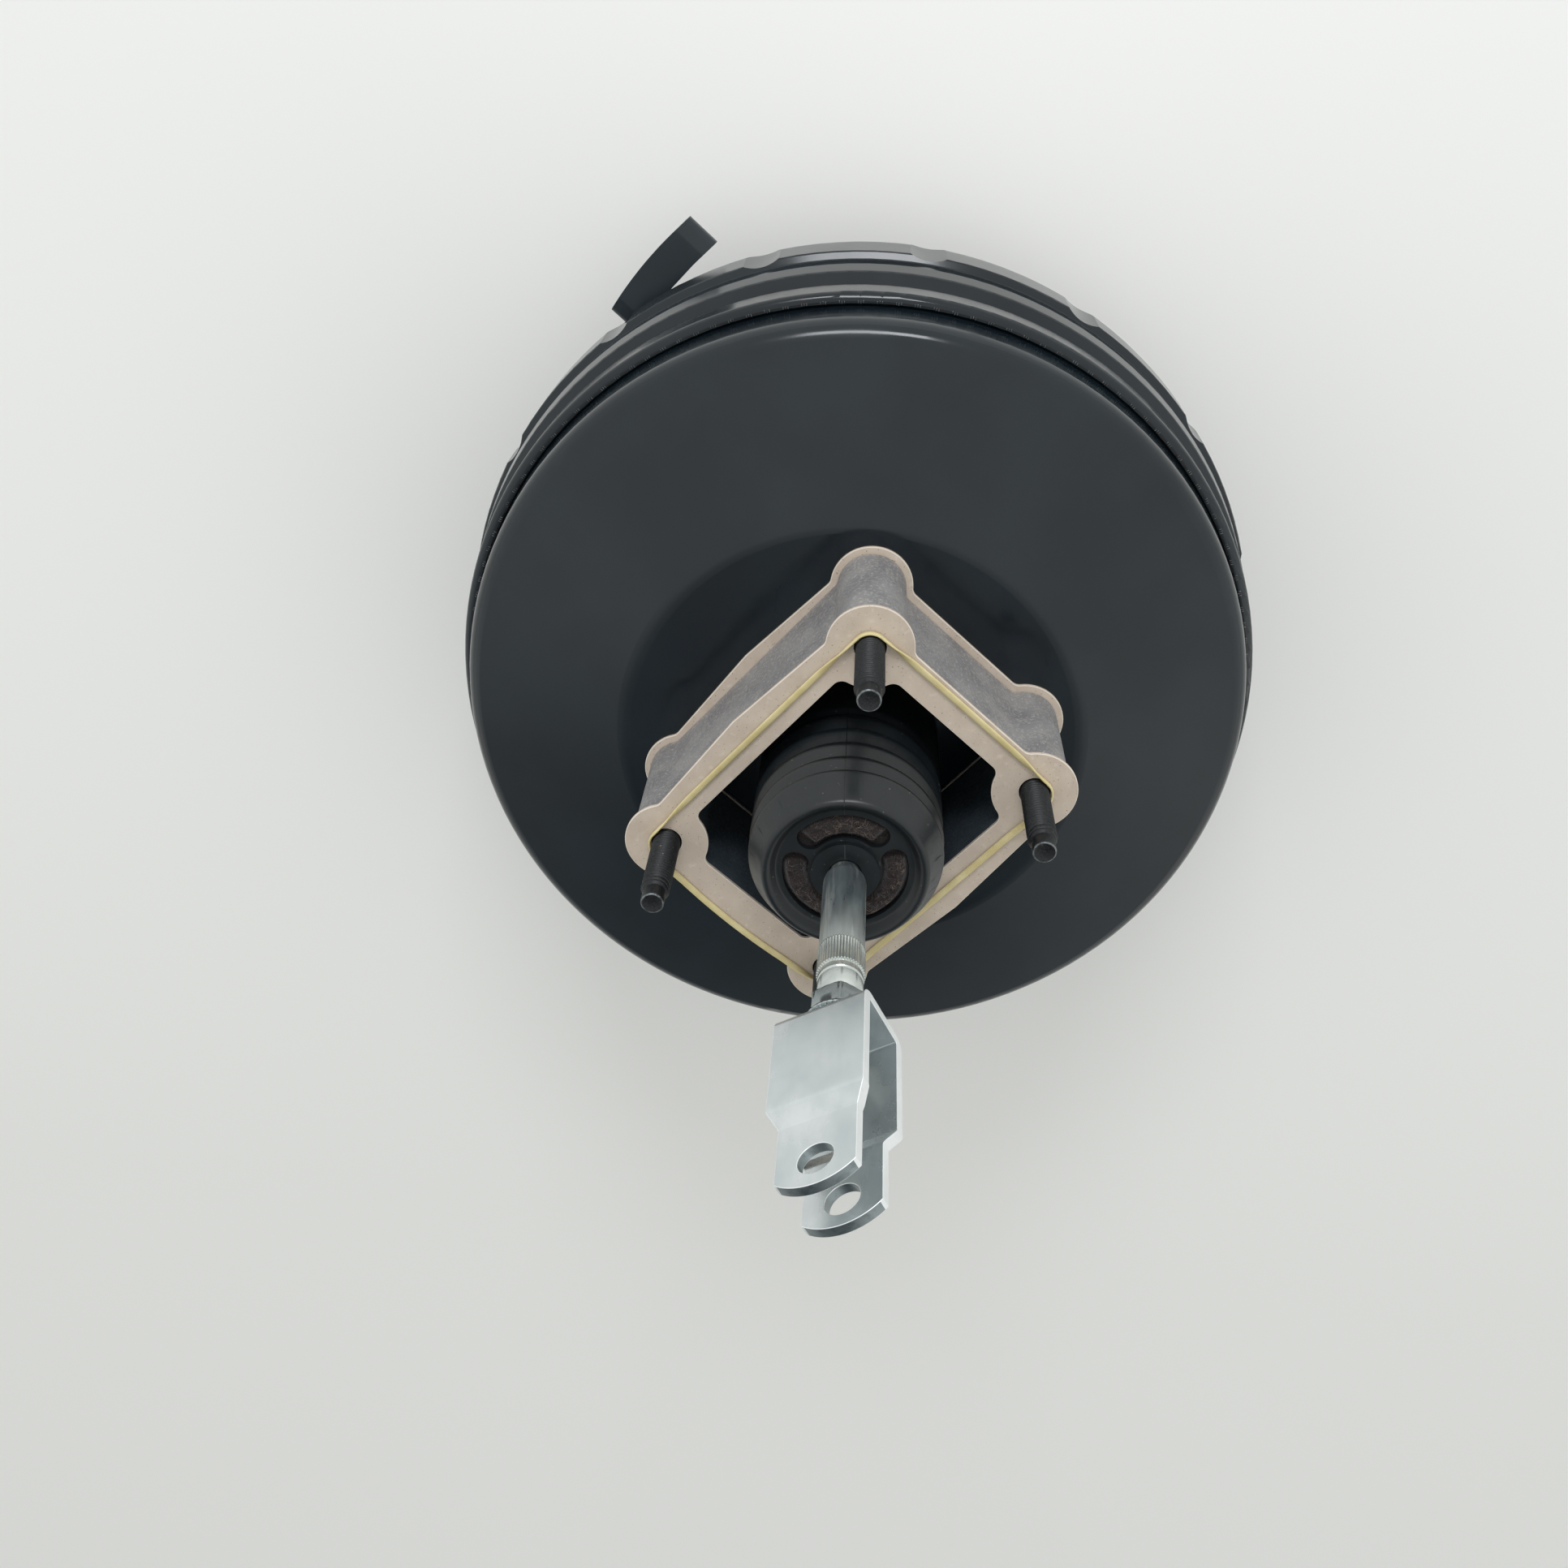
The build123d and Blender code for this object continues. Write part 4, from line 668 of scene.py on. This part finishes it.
# The pedal rod, turned about Z: r(z, t) = base(z) + knurl(z) * tooth(t) + depth(z) * crest(z / pitch - t / 2 pi),
# where tooth(t) is gain |sin(teeth t / 2)| - base, held between 0 and 1.
# From the ball up come the neck, the sleeve, the straight knurl between two crowned ends, the bright collar with its
# groove, the taper and the thread that the lock nut and the clevis run on.
def pedalRod(sizes):
    ballAngle = np.linspace(-pi / 2, np.arccos(sizes["neck"] / sizes["ball"]), sizes["ballSteps"])
    ball = np.stack([sizes["ballZ"] + sizes["ball"] * np.sin(ballAngle), sizes["ball"] * np.cos(ballAngle)], 1)
    shape, end = np.array(sizes["shape"]), np.array(sizes["end"])
    threadZ = np.linspace(*sizes["thread"], int(np.ptp(sizes["thread"]) / sizes["pitch"] * sizes["rowsPerPitch"]))
    z = np.concatenate([ball[:, 0], shape[:, 0], threadZ, end[:, 0]])
    base = np.concatenate([ball[:, 1], shape[:, 1], np.full(len(threadZ), sizes["threadRoot"]), end[:, 1]])
    base[0] = 0.0
    low, high = sizes["knurl"]
    knurled = (z >= low) & (z <= high)
    crowned = np.minimum(np.abs(z - low - sizes["crown"]), np.abs(z - high + sizes["crown"])) < sizes["crownHalf"]
    toothed = knurled * np.where(crowned, sizes["crownShare"], 1.0) * sizes["toothDepth"]
    depth = np.zeros(len(z))
    depth[len(ball) + len(shape):-len(end)] = sizes["threadDepth"]
    columns = sizes["teeth"] * sizes["toothSteps"]
    angle = fullTurn(columns)
    tooth = np.clip(sizes["toothGain"] * np.abs(np.sin(sizes["teeth"] * angle / 2)) - sizes["toothBase"], 0, 1)
    crest = threadCrest(z[:, None] / sizes["pitch"] - angle / (2 * pi))
    radius = base[:, None] + toothed[:, None] * tooth + depth[:, None] * crest
    row = z[:-1]
    # The collar's bright plate is its own; on the knurl's crown and teeth the bright plate is a painted highlight.
    bright = (row > sizes["bright"][0]) & (row < sizes["bright"][1])
    bright |= (row > sizes["highlitCrown"][0]) & (row < sizes["highlitCrown"][1])
    phase = np.arange(columns) % sizes["toothSteps"]
    onTooth = (phase > 0) & (phase < sizes["toothSteps"] - 1)
    slots = bright[:, None] | ((row > low) & (row < high - sizes["crownHalf"]))[:, None] & onTooth
    points = turnedPoints(radius, z[:, None], angle)
    piece = meshPiece("pedalRod", points, gridFaces(len(z), columns), [rodZinc, brightZinc], slots)
    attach(piece, "pedal_rod")
    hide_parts("operating_rod")


pedalRod(rodSizes)


# Each row of "rows" is a height, the radius that the chamfer or the bore cuts the hexagon to, and the flange's.
nutSizes = {
    "flat": 6.5, "corner": 41.0, "teeth": 40, "tooth": 0.3, "toothRows": (0.4, 1.0, 1.0), "columns": 240,
    "rows": [
        (96.4, 4.04, 0), (87.1, 4.04, 0), (86.6, 4.54, 0), (86.6, 6.15, 0), (86.72, 6.45, 0), (86.9, 6.9, 0),
        (87.1, 7.2, 0), (87.3, 7.6, 0), (90.0, 9, 0), (93.2, 9, 6.5), (93.9, 9, 6.7), (94.25, 9, 7.1),
        (94.5, 9, 7.6), (94.9, 9, 8.1), (95.3, 9, 8.4), (95.65, 9, 8.5), (96.05, 9, 8.5), (96.3, 9, 8.42),
        (96.4, 9, 8.1), (96.4, 4.04, 0),
    ],
}


# The flanged lock nut: r(z, t) = max(min(hexagon(t), cone(z)), flange(z)), where hexagon(t) = flat / cos of the angle
# from the nearest flat's middle. Ratchet teeth notch the flange where it bites on the clevis.
def flangedNut(sizes):
    angle = fullTurn(sizes["columns"])
    hexagon = sizes["flat"] / np.cos(np.mod(angle - radians(sizes["corner"]), pi / 3) - pi / 6)
    z, cone, flange = np.array(sizes["rows"]).T[:, :, None]
    radius = np.maximum(np.minimum(hexagon, cone), flange)
    height = np.repeat(z, sizes["columns"], 1)
    ratchet = np.mod(angle * sizes["teeth"] / (2 * pi), 1.0)
    height[-4:-1] -= sizes["tooth"] * ratchet * np.array(sizes["toothRows"])[:, None]
    points = turnedPoints(radius, height, angle)
    piece = meshPiece("flangedLockNut", points, gridFaces(len(z), len(angle)), [nutPlate], sharpAngle=25)
    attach(piece, "pedal_rod")
    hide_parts("lock_nut")


flangedNut(nutSizes)
print("stage: rod and nut")


clevisSizes = {
    "turn": -20.0, "edge": 0.3, "steps": 3, "angle": 32.0, "earTop": 149.5, "earBase": 130.0, "pinHalf": 6.0,
    "square": 0.2, "facing": 0.3,
}


# The clevis is its node with a bright arris on its edges, a painted highlight. A face is cut where its direction has
# little across the ears, and is either sideways or above the bridge. The cut on the long sides is painted bright as a
# highlight, and on the round ends and in the pin holes it has the darker sheared finish, partly painted shade.
def pressedFork(sizes):
    piece = mergedCopy("pressedClevis", "clevis", [clevisZinc, clevisShearedShade, clevisHighlight])
    faces = piece.data.polygons
    normal, centre = readRows(faces, "normal"), readRows(faces, "center") / mm
    turn = radians(sizes["turn"])
    sideways, across = [cos(turn), sin(turn), 0.0], [-sin(turn), cos(turn), 0.0]
    cut = (np.abs(normal @ sideways) > sizes["facing"]) | (centre[:, 2] > sizes["earBase"])
    cut &= np.abs(normal @ across) < sizes["square"]
    # The long cut sides get the painted highlight; the rest of the cut gets the sheared finish with its painted
    # shade.
    bright = cut & (np.abs(centre @ sideways) > sizes["pinHalf"]) & (centre[:, 2] < sizes["earTop"])
    faces.foreach_set("material_index", cut.astype(np.int32) + bright)
    softenEdges(piece, sizes["edge"], sizes["steps"], sizes["angle"], 2)
    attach(piece, "clevis")
    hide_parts("clevis")


pressedFork(clevisSizes)


bracketSizes = {
    "middle": 43.0, "inside": 123.804, "half": 20.0, "bow": 1.5, "armHalf": 8.0, "armShift": -5.2, "armShare": 0.525,
    "near": 0.05, "onPlane": 0.0001, "cutSpan": 17.5, "cutStep": 2.5, "edge": 0.35, "steps": 3,
}


# The pressed side bracket: its node cut across in even steps, then bowed round the shell, y - bow * (u / half)^2 for
# u along the head, with its arm made narrower and moved along, u to armShift + armShare * u.
def pressedBracket(sizes):
    piece = mergedCopy("pressedSideBracket", "side_bracket", [bracketPaint])
    steps = np.arange(-sizes["cutSpan"], sizes["cutSpan"] + sizes["near"], sizes["cutStep"])
    cuts = [(((sizes["middle"] + u) * mm, 0, 0), (1, 0, 0)) for u in steps]
    cuts.append(((0, sizes["inside"] * mm, 0), (0, 1, 0)))
    work = bmesh.new()
    work.from_mesh(piece.data)
    for place, normal in cuts:
        geometry = work.verts[:] + work.edges[:] + work.faces[:]
        bmesh.ops.bisect_plane(work, geom=geometry, plane_co=place, plane_no=normal, dist=sizes["onPlane"] * mm)
    work.to_mesh(piece.data)
    work.free()
    points = readRows(piece.data.vertices, "co") / mm
    u = points[:, 0] - sizes["middle"]
    arm = points[:, 1] < sizes["inside"] - sizes["near"]
    root = (np.abs(points[:, 1] - sizes["inside"]) < sizes["near"]) & (np.abs(u) < sizes["armHalf"] + sizes["near"])
    u = np.where(arm | root, sizes["armShift"] + sizes["armShare"] * u, u)
    points[:, 0] = sizes["middle"] + u
    points[:, 1] -= sizes["bow"] * (u / sizes["half"]) ** 2
    piece.data.vertices.foreach_set("co", (points * mm).ravel())
    piece.data.update()
    piece.data.set_sharp_from_angle(angle=radians(cadSharp))
    softenEdges(piece, sizes["edge"], sizes["steps"])
    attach(piece, "housing")
    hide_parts("side_bracket")


pressedBracket(bracketSizes)
print("stage: clevis and bracket")


# Each row of "corners" is a mark's corner, as a share of its half width and of the way from its inner end to its
# outer one: first the four at its foot, then the four on its top.
stakeSizes = {
    "groups": 144, "marks": 3, "spread": 0.33, "inner": 124.4, "outer": 125.3, "wide": 0.34, "rise": 0.05,
    "sunk": 0.1, "level": -79.3, "jitter": 0.15, "seed": 7,
    "corners": [(-1, 0), (1, 0), (1, 1), (-1, 1), (-0.4, 0.2), (0.4, 0.2), (0.4, 0.8), (-0.4, 0.8)],
}


# Staking marks where the crimped edge was punched down: small ridges of bare metal, three to a group, each a tapered
# block with corners at (r, t +- half width) between its two radii, seated just under the flange's face.
def stakeMarks(sizes):
    group = np.repeat(np.arange(sizes["groups"]) * 360 / sizes["groups"], sizes["marks"])
    offset = np.tile((np.arange(sizes["marks"]) - (sizes["marks"] - 1) / 2) * sizes["spread"], sizes["groups"])
    angle = np.radians(group + offset)[:, None]
    jitter = np.random.default_rng(sizes["seed"]).uniform(-sizes["jitter"], sizes["jitter"], (len(angle), 1))
    side, share = np.array(sizes["corners"]).T
    turn = angle + side * sizes["wide"] / 2 / sizes["outer"]
    radius = share * (sizes["outer"] - sizes["inner"]) + sizes["inner"] + jitter
    z = np.repeat([-sizes["sunk"], sizes["rise"]], 4) + sizes["level"]
    block = np.array([[0, 3, 2, 1], [4, 5, 6, 7], [0, 1, 5, 4], [1, 2, 6, 5], [2, 3, 7, 6], [3, 0, 4, 7]])
    faces = (block + len(side) * np.arange(len(angle))[:, None, None]).reshape(-1, 4)
    piece = meshPiece("crimpStakeMarks", turnedPoints(radius, z, turn), faces, [bareAndHighlitSteel], sharpAngle=30)
    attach(piece, "housing")


stakeMarks(stakeSizes)
print("stage: crimp marks")


bootSizes = {
    "start": -43.0, "end": 15.0, "seam": 44.0, "seamWidth": 0.14, "seamHigh": 0.12, "from": 24.0, "to": 27.0,
    "sink": 0.9, "sinkFrom": 20.0, "sinkTo": 16.5, "edge": 0.25, "angle": 45.0,
    "nodeRadii": [0, 9.2, 9.7, 15.8, 17.0, 20.3, 27.0], "radii": [0, 9.2, 9.9, 16.9, 18.6, 21.6, 27.0],
}


# The moulded boot is its node's own shape in one skin. Above "from" its end opens out: a point's radius is carried
# from the node's radii to the boot's by straight steps, and the floor sinks. The mould's parting seam is drawn in the
# relief: a thin ridge where the distance from the plane through the axis, |y cos a - x sin a|, is under its width.
def mouldedBoot(sizes):
    material = bootRubber.copy()
    material.name = "mouldedBootRubberWithSeam"
    tree = material.node_tree
    shader = tree.nodes["Principled BSDF"]
    place = addNode(tree, "ShaderNodeTexCoord", "Object")
    across = {0: place, 1: (-sin(radians(sizes["seam"])), cos(radians(sizes["seam"])), 0.0)}
    distance = addNode(tree, "ShaderNodeVectorMath", "Value", across, operation="DOT_PRODUCT")
    off = addNode(tree, "ShaderNodeMath", 0, {0: distance}, operation="ABSOLUTE")
    reach = {"Value": off, "From Min": 0.0, "From Max": sizes["seamWidth"] * mm, "To Min": 1.0, "To Max": 0.0}
    ridge = addNode(tree, "ShaderNodeMapRange", "Result", reach)
    skin = shader.inputs["Normal"].links[0].from_socket
    relief = {"Height": ridge, "Distance": sizes["seamHigh"] * mm, "Normal": skin}
    finishMaterial(tree, shader, {"Normal": addNode(tree, "ShaderNodeBump", "Normal", relief)}, {})
    piece = mergedCopy("mouldedBoot", "boot", [material])
    points = readRows(piece.data.vertices, "co") / mm
    radius = np.hypot(points[:, 0], points[:, 1])
    share = smoothStep(points[:, 2], sizes["from"], sizes["to"])
    opened = np.interp(radius, sizes["nodeRadii"], sizes["radii"])
    points[:, :2] *= (1 + share * (opened / np.maximum(radius, tiny) - 1))[:, None]
    points[:, 2] -= sizes["sink"] * share * smoothStep(radius, sizes["sinkFrom"], sizes["sinkTo"])
    piece.data.vertices.foreach_set("co", (points * mm).ravel())
    piece.data.update()
    softenEdges(piece, sizes["edge"], angle=sizes["angle"])
    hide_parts("boot")
    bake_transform(piece)


mouldedBoot(bootSizes)
print("stage: boot")


feltSizes = {
    "inner": 6.5, "outer": 19.6, "low": 22.3, "flat": 25.2, "swell": 2.3, "lump": 0.5, "nap": 0.1, "rows": 64,
    "columns": 384, "seed": 11, "vents": 3, "ventInner": 10.1, "ventOuter": 16.9, "ventTurn": 46.0, "ventHalf": 47.0,
    "ventEdge": 1.6, "ventEnd": 8.0,
}


# How far a place is inside a vent, 0 to 1: a smooth rise in radius times one in the angle from the vent's middle.
def ventShare(sizes, radius, degrees):
    apart = 360 / sizes["vents"]
    turn = np.abs(np.mod(degrees - sizes["ventTurn"] + apart / 2, apart) - apart / 2)
    width = smoothStep(radius, sizes["ventInner"], sizes["ventInner"] + sizes["ventEdge"])
    width = width * (1 - smoothStep(radius, sizes["ventOuter"] - sizes["ventEdge"], sizes["ventOuter"]))
    return width * (1 - smoothStep(turn, sizes["ventHalf"] - sizes["ventEnd"], sizes["ventHalf"]))


# The felt disc under the vents, closed as a ring: its top is z = flat + vent share * (swell + lump * h) + nap * h,
# where h is seeded random heights, averaged with those one, then two, then three places away on either side.
def feltDisc(sizes):
    random = np.random.default_rng(sizes["seed"])
    rows, columns = sizes["rows"], sizes["columns"]
    r = np.linspace(sizes["inner"], sizes["outer"], rows)
    angle = fullTurn(columns)
    share = ventShare(sizes, r[:, None], np.degrees(angle))
    lumps = random.normal(size=(rows, columns))
    for shift in (1, 2, 3):
        lumps = (lumps + np.roll(lumps, shift, 0) + np.roll(lumps, -shift, 0)) / 3
        lumps = (lumps + np.roll(lumps, shift, 1) + np.roll(lumps, -shift, 1)) / 3
    lumps /= np.abs(lumps).max()
    top = sizes["flat"] + share * (sizes["swell"] + sizes["lump"] * lumps) + sizes["nap"] * lumps
    radius = np.append(r, [sizes["outer"], sizes["inner"]])[:, None]
    height = np.concatenate([top, np.full((2, columns), sizes["low"])])
    faces = gridFaces(rows + 2, columns, closeRows=True)
    piece = meshPiece("needledFeltDisc", turnedPoints(radius, height, angle), faces, [felt], sharpAngle=60)
    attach(piece, "piston")
    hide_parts("silencer_felt")


hairSizes = {
    "count": 420, "seed": 12, "clearEnd": 9, "clearEdge": 1.3, "length": (1.0, 3.4), "bend": 2.2, "rise": (0.1, 0.65),
    "lift": 0.05, "thick": 0.045, "places": 6, "sides": 3,
}
hairLook = {"dark": "#2f2625", "pale": "#74675f", "size": 1.5}


# Loose wool hair on the felt: three-sided threads on seeded places inside the vents. Each runs along an arc whose
# heading turns evenly by its bend, in radians, and is lifted by rise * sin(pi s).
def looseHair(vents, sizes, look):
    coats = [("tone", 0.4, 0.6, 1.0, look["pale"])]
    even = {"Roughness": 0.7, "Specular IOR Level": 0.3}
    patterns = {"tone": (look["size"], 2.0, 0.5)}
    wool = coatedFinish("looseWoolHair", look["dark"], patterns, coats, None, None, even)
    random = np.random.default_rng(sizes["seed"])
    count, places = sizes["count"], sizes["places"]
    half = vents["ventHalf"] - sizes["clearEnd"]
    vent = random.integers(0, vents["vents"], count) * 360 / vents["vents"] + vents["ventTurn"]
    start = np.radians(vent + random.uniform(-half, half, count))[:, None]
    edge = sizes["clearEdge"]
    radius = random.uniform(vents["ventInner"] + edge, vents["ventOuter"] - edge, count)[:, None]
    heading = random.uniform(0, 2 * pi, count)[:, None]
    step = random.uniform(*sizes["length"], count)[:, None] / (places - 1)
    bend = random.uniform(-sizes["bend"], sizes["bend"], count)[:, None]
    s = np.linspace(0, 1, places)
    turning = heading + bend * s
    x = radius * np.cos(start) + np.cumsum(np.cos(turning) * step, 1)
    y = radius * np.sin(start) + np.cumsum(np.sin(turning) * step, 1)
    share = ventShare(vents, np.hypot(x, y), np.degrees(np.arctan2(y, x)))
    rise = random.uniform(*sizes["rise"], count)[:, None] * np.sin(pi * s)
    centre = np.stack([x, y, vents["flat"] + share * (vents["swell"] + rise) + sizes["lift"]], -1)
    around = fullTurn(sizes["sides"])[:, None]
    thick = np.where((s > 0) & (s < 1), sizes["thick"], 0.0)[:, None, None]
    sideways = np.stack([-np.sin(turning), np.cos(turning), np.zeros_like(turning)], -1)[:, :, None, :]
    points = centre[:, :, None, :] + (np.cos(around) * sideways + np.sin(around) * [0, 0, 1.0]) * thick
    each = places * sizes["sides"] * np.arange(count)[:, None, None]
    faces = (gridFaces(places, sizes["sides"]) + each).reshape(-1, 4)
    piece = meshPiece("looseFeltHair", points, faces, [wool], sharpAngle=80)
    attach(piece, "piston")


feltDisc(feltSizes)
looseHair(feltSizes, hairSizes, hairLook)
print("stage: felt")


# Each soft or springy node that two bodies share, with its finish, its slot, the two bodies and the heights in
# millimetres between which it passes from the first to the second.
sharedPieces = {
    "coiledReturnSpring": ("return_spring", springWire, "spring_steel", "housing", "piston", -155.0, -111.0),
    "coiledCheckSpring": ("check_valve_spring", springWire, "spring_steel", "housing", "check_disc", -156.5, -149.0),
    "coiledRodSpring": ("rod_spring", springWire, "spring_steel", "piston", "pedal_rod", -4.3, 5.0),
    "coiledPoppetSpring": ("poppet_spring", springWire, "spring_steel", "piston", "poppet", -7.3, -21.5),
    "mouldedRearDiaphragm": ("rear_diaphragm", sealRubber, "diaphragm_rubber", "housing", "piston", -82.5, -66.0),
    "mouldedFrontDiaphragm": ("front_diaphragm", sealRubber, "diaphragm_rubber", "housing", "piston", -90.5, -101.0),
}


# A spring or a rolling diaphragm is a merged copy of its node in its finish, baked where it stands at rest.
def sharedPiece(name, node, material, slot, first, second, start, end):
    piece = mergedCopy(name, node, [material], dissolved=False)
    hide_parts(node)
    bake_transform(piece)


for name, row in sharedPieces.items():
    sharedPiece(name, *row)
print("stage: springs and diaphragms")


# Places in metres, and the lens as millimetres of focal length on a sensor of 36.
view = {
    "place": (0.168598, 0.148289, 0.382907),
    "aim": (-0.0245993, 0.0052489, -0.0443629),
    "roll": -173.3178,
    "lens": 36.17,
}


# The camera over the bench: it stands at a place in metres and looks at its aim, rolled about its line of sight.
def benchCamera(look):
    camera = bpy.data.objects.new("benchCamera", bpy.data.cameras.new("benchCamera"))
    bpy.context.collection.objects.link(camera)
    camera.data.sensor_width = 36.0
    camera.data.lens = look["lens"]
    camera.data.clip_start = 0.01
    camera.location = look["place"]
    gaze = Vector(look["aim"]) - Vector(look["place"])
    camera.rotation_mode = "QUATERNION"
    camera.rotation_quaternion = gaze.to_track_quat("-Z", "Y") @ Quaternion((0, 0, 1), radians(look["roll"]))
    bpy.context.scene.camera = camera


benchCamera(view)


# "from" and "to" are metres along the direction in which the board is painted paler, as painted light from the window
# side.
floorLook = {
    "far": "#fcfcfa", "near": "#ecece9", "along": (0.8, 0.6, 0.0), "from": -0.35, "to": 0.4, "rough": 0.6,
    "half": 3000.0, "below": 1.0,
}


# The bench top: one square plane just under the booster, in lacquered board. Its tone follows the dot product of the
# place with a direction, paler towards the window lamp as painted light, and it is clear when seen from below.
def benchTop(look):
    material, tree, shader, place = startMaterial("paleBenchBoard")
    way = {0: place, 1: look["along"]}
    along = addNode(tree, "ShaderNodeVectorMath", "Value", way, operation="DOT_PRODUCT")
    reach = {"Value": along, "From Min": look["from"], "From Max": look["to"]}
    share = addNode(tree, "ShaderNodeMapRange", "Result", reach)
    tone = addNode(tree, "ShaderNodeMix", 2, {0: share, 6: look["near"], 7: look["far"]}, data_type="RGBA")
    finishMaterial(tree, shader, {"Base Color": tone}, {"Roughness": look["rough"]})
    under = addNode(tree, "ShaderNodeNewGeometry", "Backfacing")
    clear = addNode(tree, "ShaderNodeBsdfTransparent", "BSDF")
    shown = addNode(tree, "ShaderNodeMixShader", "Shader", {0: under, 1: shader.outputs["BSDF"], 2: clear})
    tree.links.new(shown, tree.nodes["Material Output"].inputs["Surface"])
    corners = np.array([[-1, -1, 0], [1, -1, 0], [1, 1, 0], [-1, 1, 0]]) * look["half"]
    corners[:, 2] = cadBounds[0][2] / mm - look["below"]
    meshPiece("benchTop", corners, np.array([[0, 1, 2, 3]]), [material])


benchTop(floorLook)


roomLook = {
    "sky": "#f0f1ef", "strength": 1.08, "person": "#454e54", "toward": (-0.69, -0.43, 0.58),
    "core": 0.98, "edge": 0.6,
}


# The room as the world: an even pale sky, with a soft dark lobe where someone stands over the bench. The lobe is a
# dot product of the direction with the lobe's axis, carried from its edge to its core, and the camera sees plain sky.
def roomWorld(look):
    world = bpy.data.worlds.new("studioRoom")
    bpy.context.scene.world = world
    world.use_nodes = True
    tree = world.node_tree
    direction = addNode(tree, "ShaderNodeTexCoord", "Generated")
    axis = {0: direction, 1: Vector(look["toward"]).normalized()}
    lobe = addNode(tree, "ShaderNodeVectorMath", "Value", axis, operation="DOT_PRODUCT")
    reach = {"Value": lobe, "From Min": look["edge"], "From Max": look["core"]}
    inLobe = addNode(tree, "ShaderNodeMapRange", "Result", reach)
    seen = addNode(tree, "ShaderNodeLightPath", "Is Camera Ray")
    dark = addNode(tree, "ShaderNodeMath", 0, {0: inLobe, 1: seen}, operation="SUBTRACT", use_clamp=True)
    sky = addNode(tree, "ShaderNodeMix", 2, {0: dark, 6: look["sky"], 7: look["person"]}, data_type="RGBA")
    finishMaterial(tree, tree.nodes["Background"], {"Color": sky}, {"Strength": look["strength"]})


roomWorld(roomLook)


# Places and sizes in metres, and power in watts.
windowLook = {
    "place": (0.95, 0.85, 0.7), "target": (0, 0, -0.05), "width": 0.6, "height": 0.3, "power": 7, "colour": "#f8faff",
}


# A rectangular soft box at a place that faces a target.
def softBox(name, look):
    lamp = bpy.data.lights.new(name, "AREA")
    lamp.shape = "RECTANGLE"
    lamp.size = look["width"]
    lamp.size_y = look["height"]
    lamp.energy = look["power"]
    lamp.color = linear(look["colour"])[:3]
    holder = bpy.data.objects.new(name, lamp)
    bpy.context.collection.objects.link(holder)
    holder.visible_camera = False
    holder.location = look["place"]
    holder.rotation_mode = "QUATERNION"
    holder.rotation_quaternion = (Vector(look["target"]) - Vector(look["place"])).to_track_quat("-Z", "Y")


softBox("windowLight", windowLook)
print("stage: camera and light")


bpy.context.scene.view_settings.view_transform = "Standard"
print("stage: done")
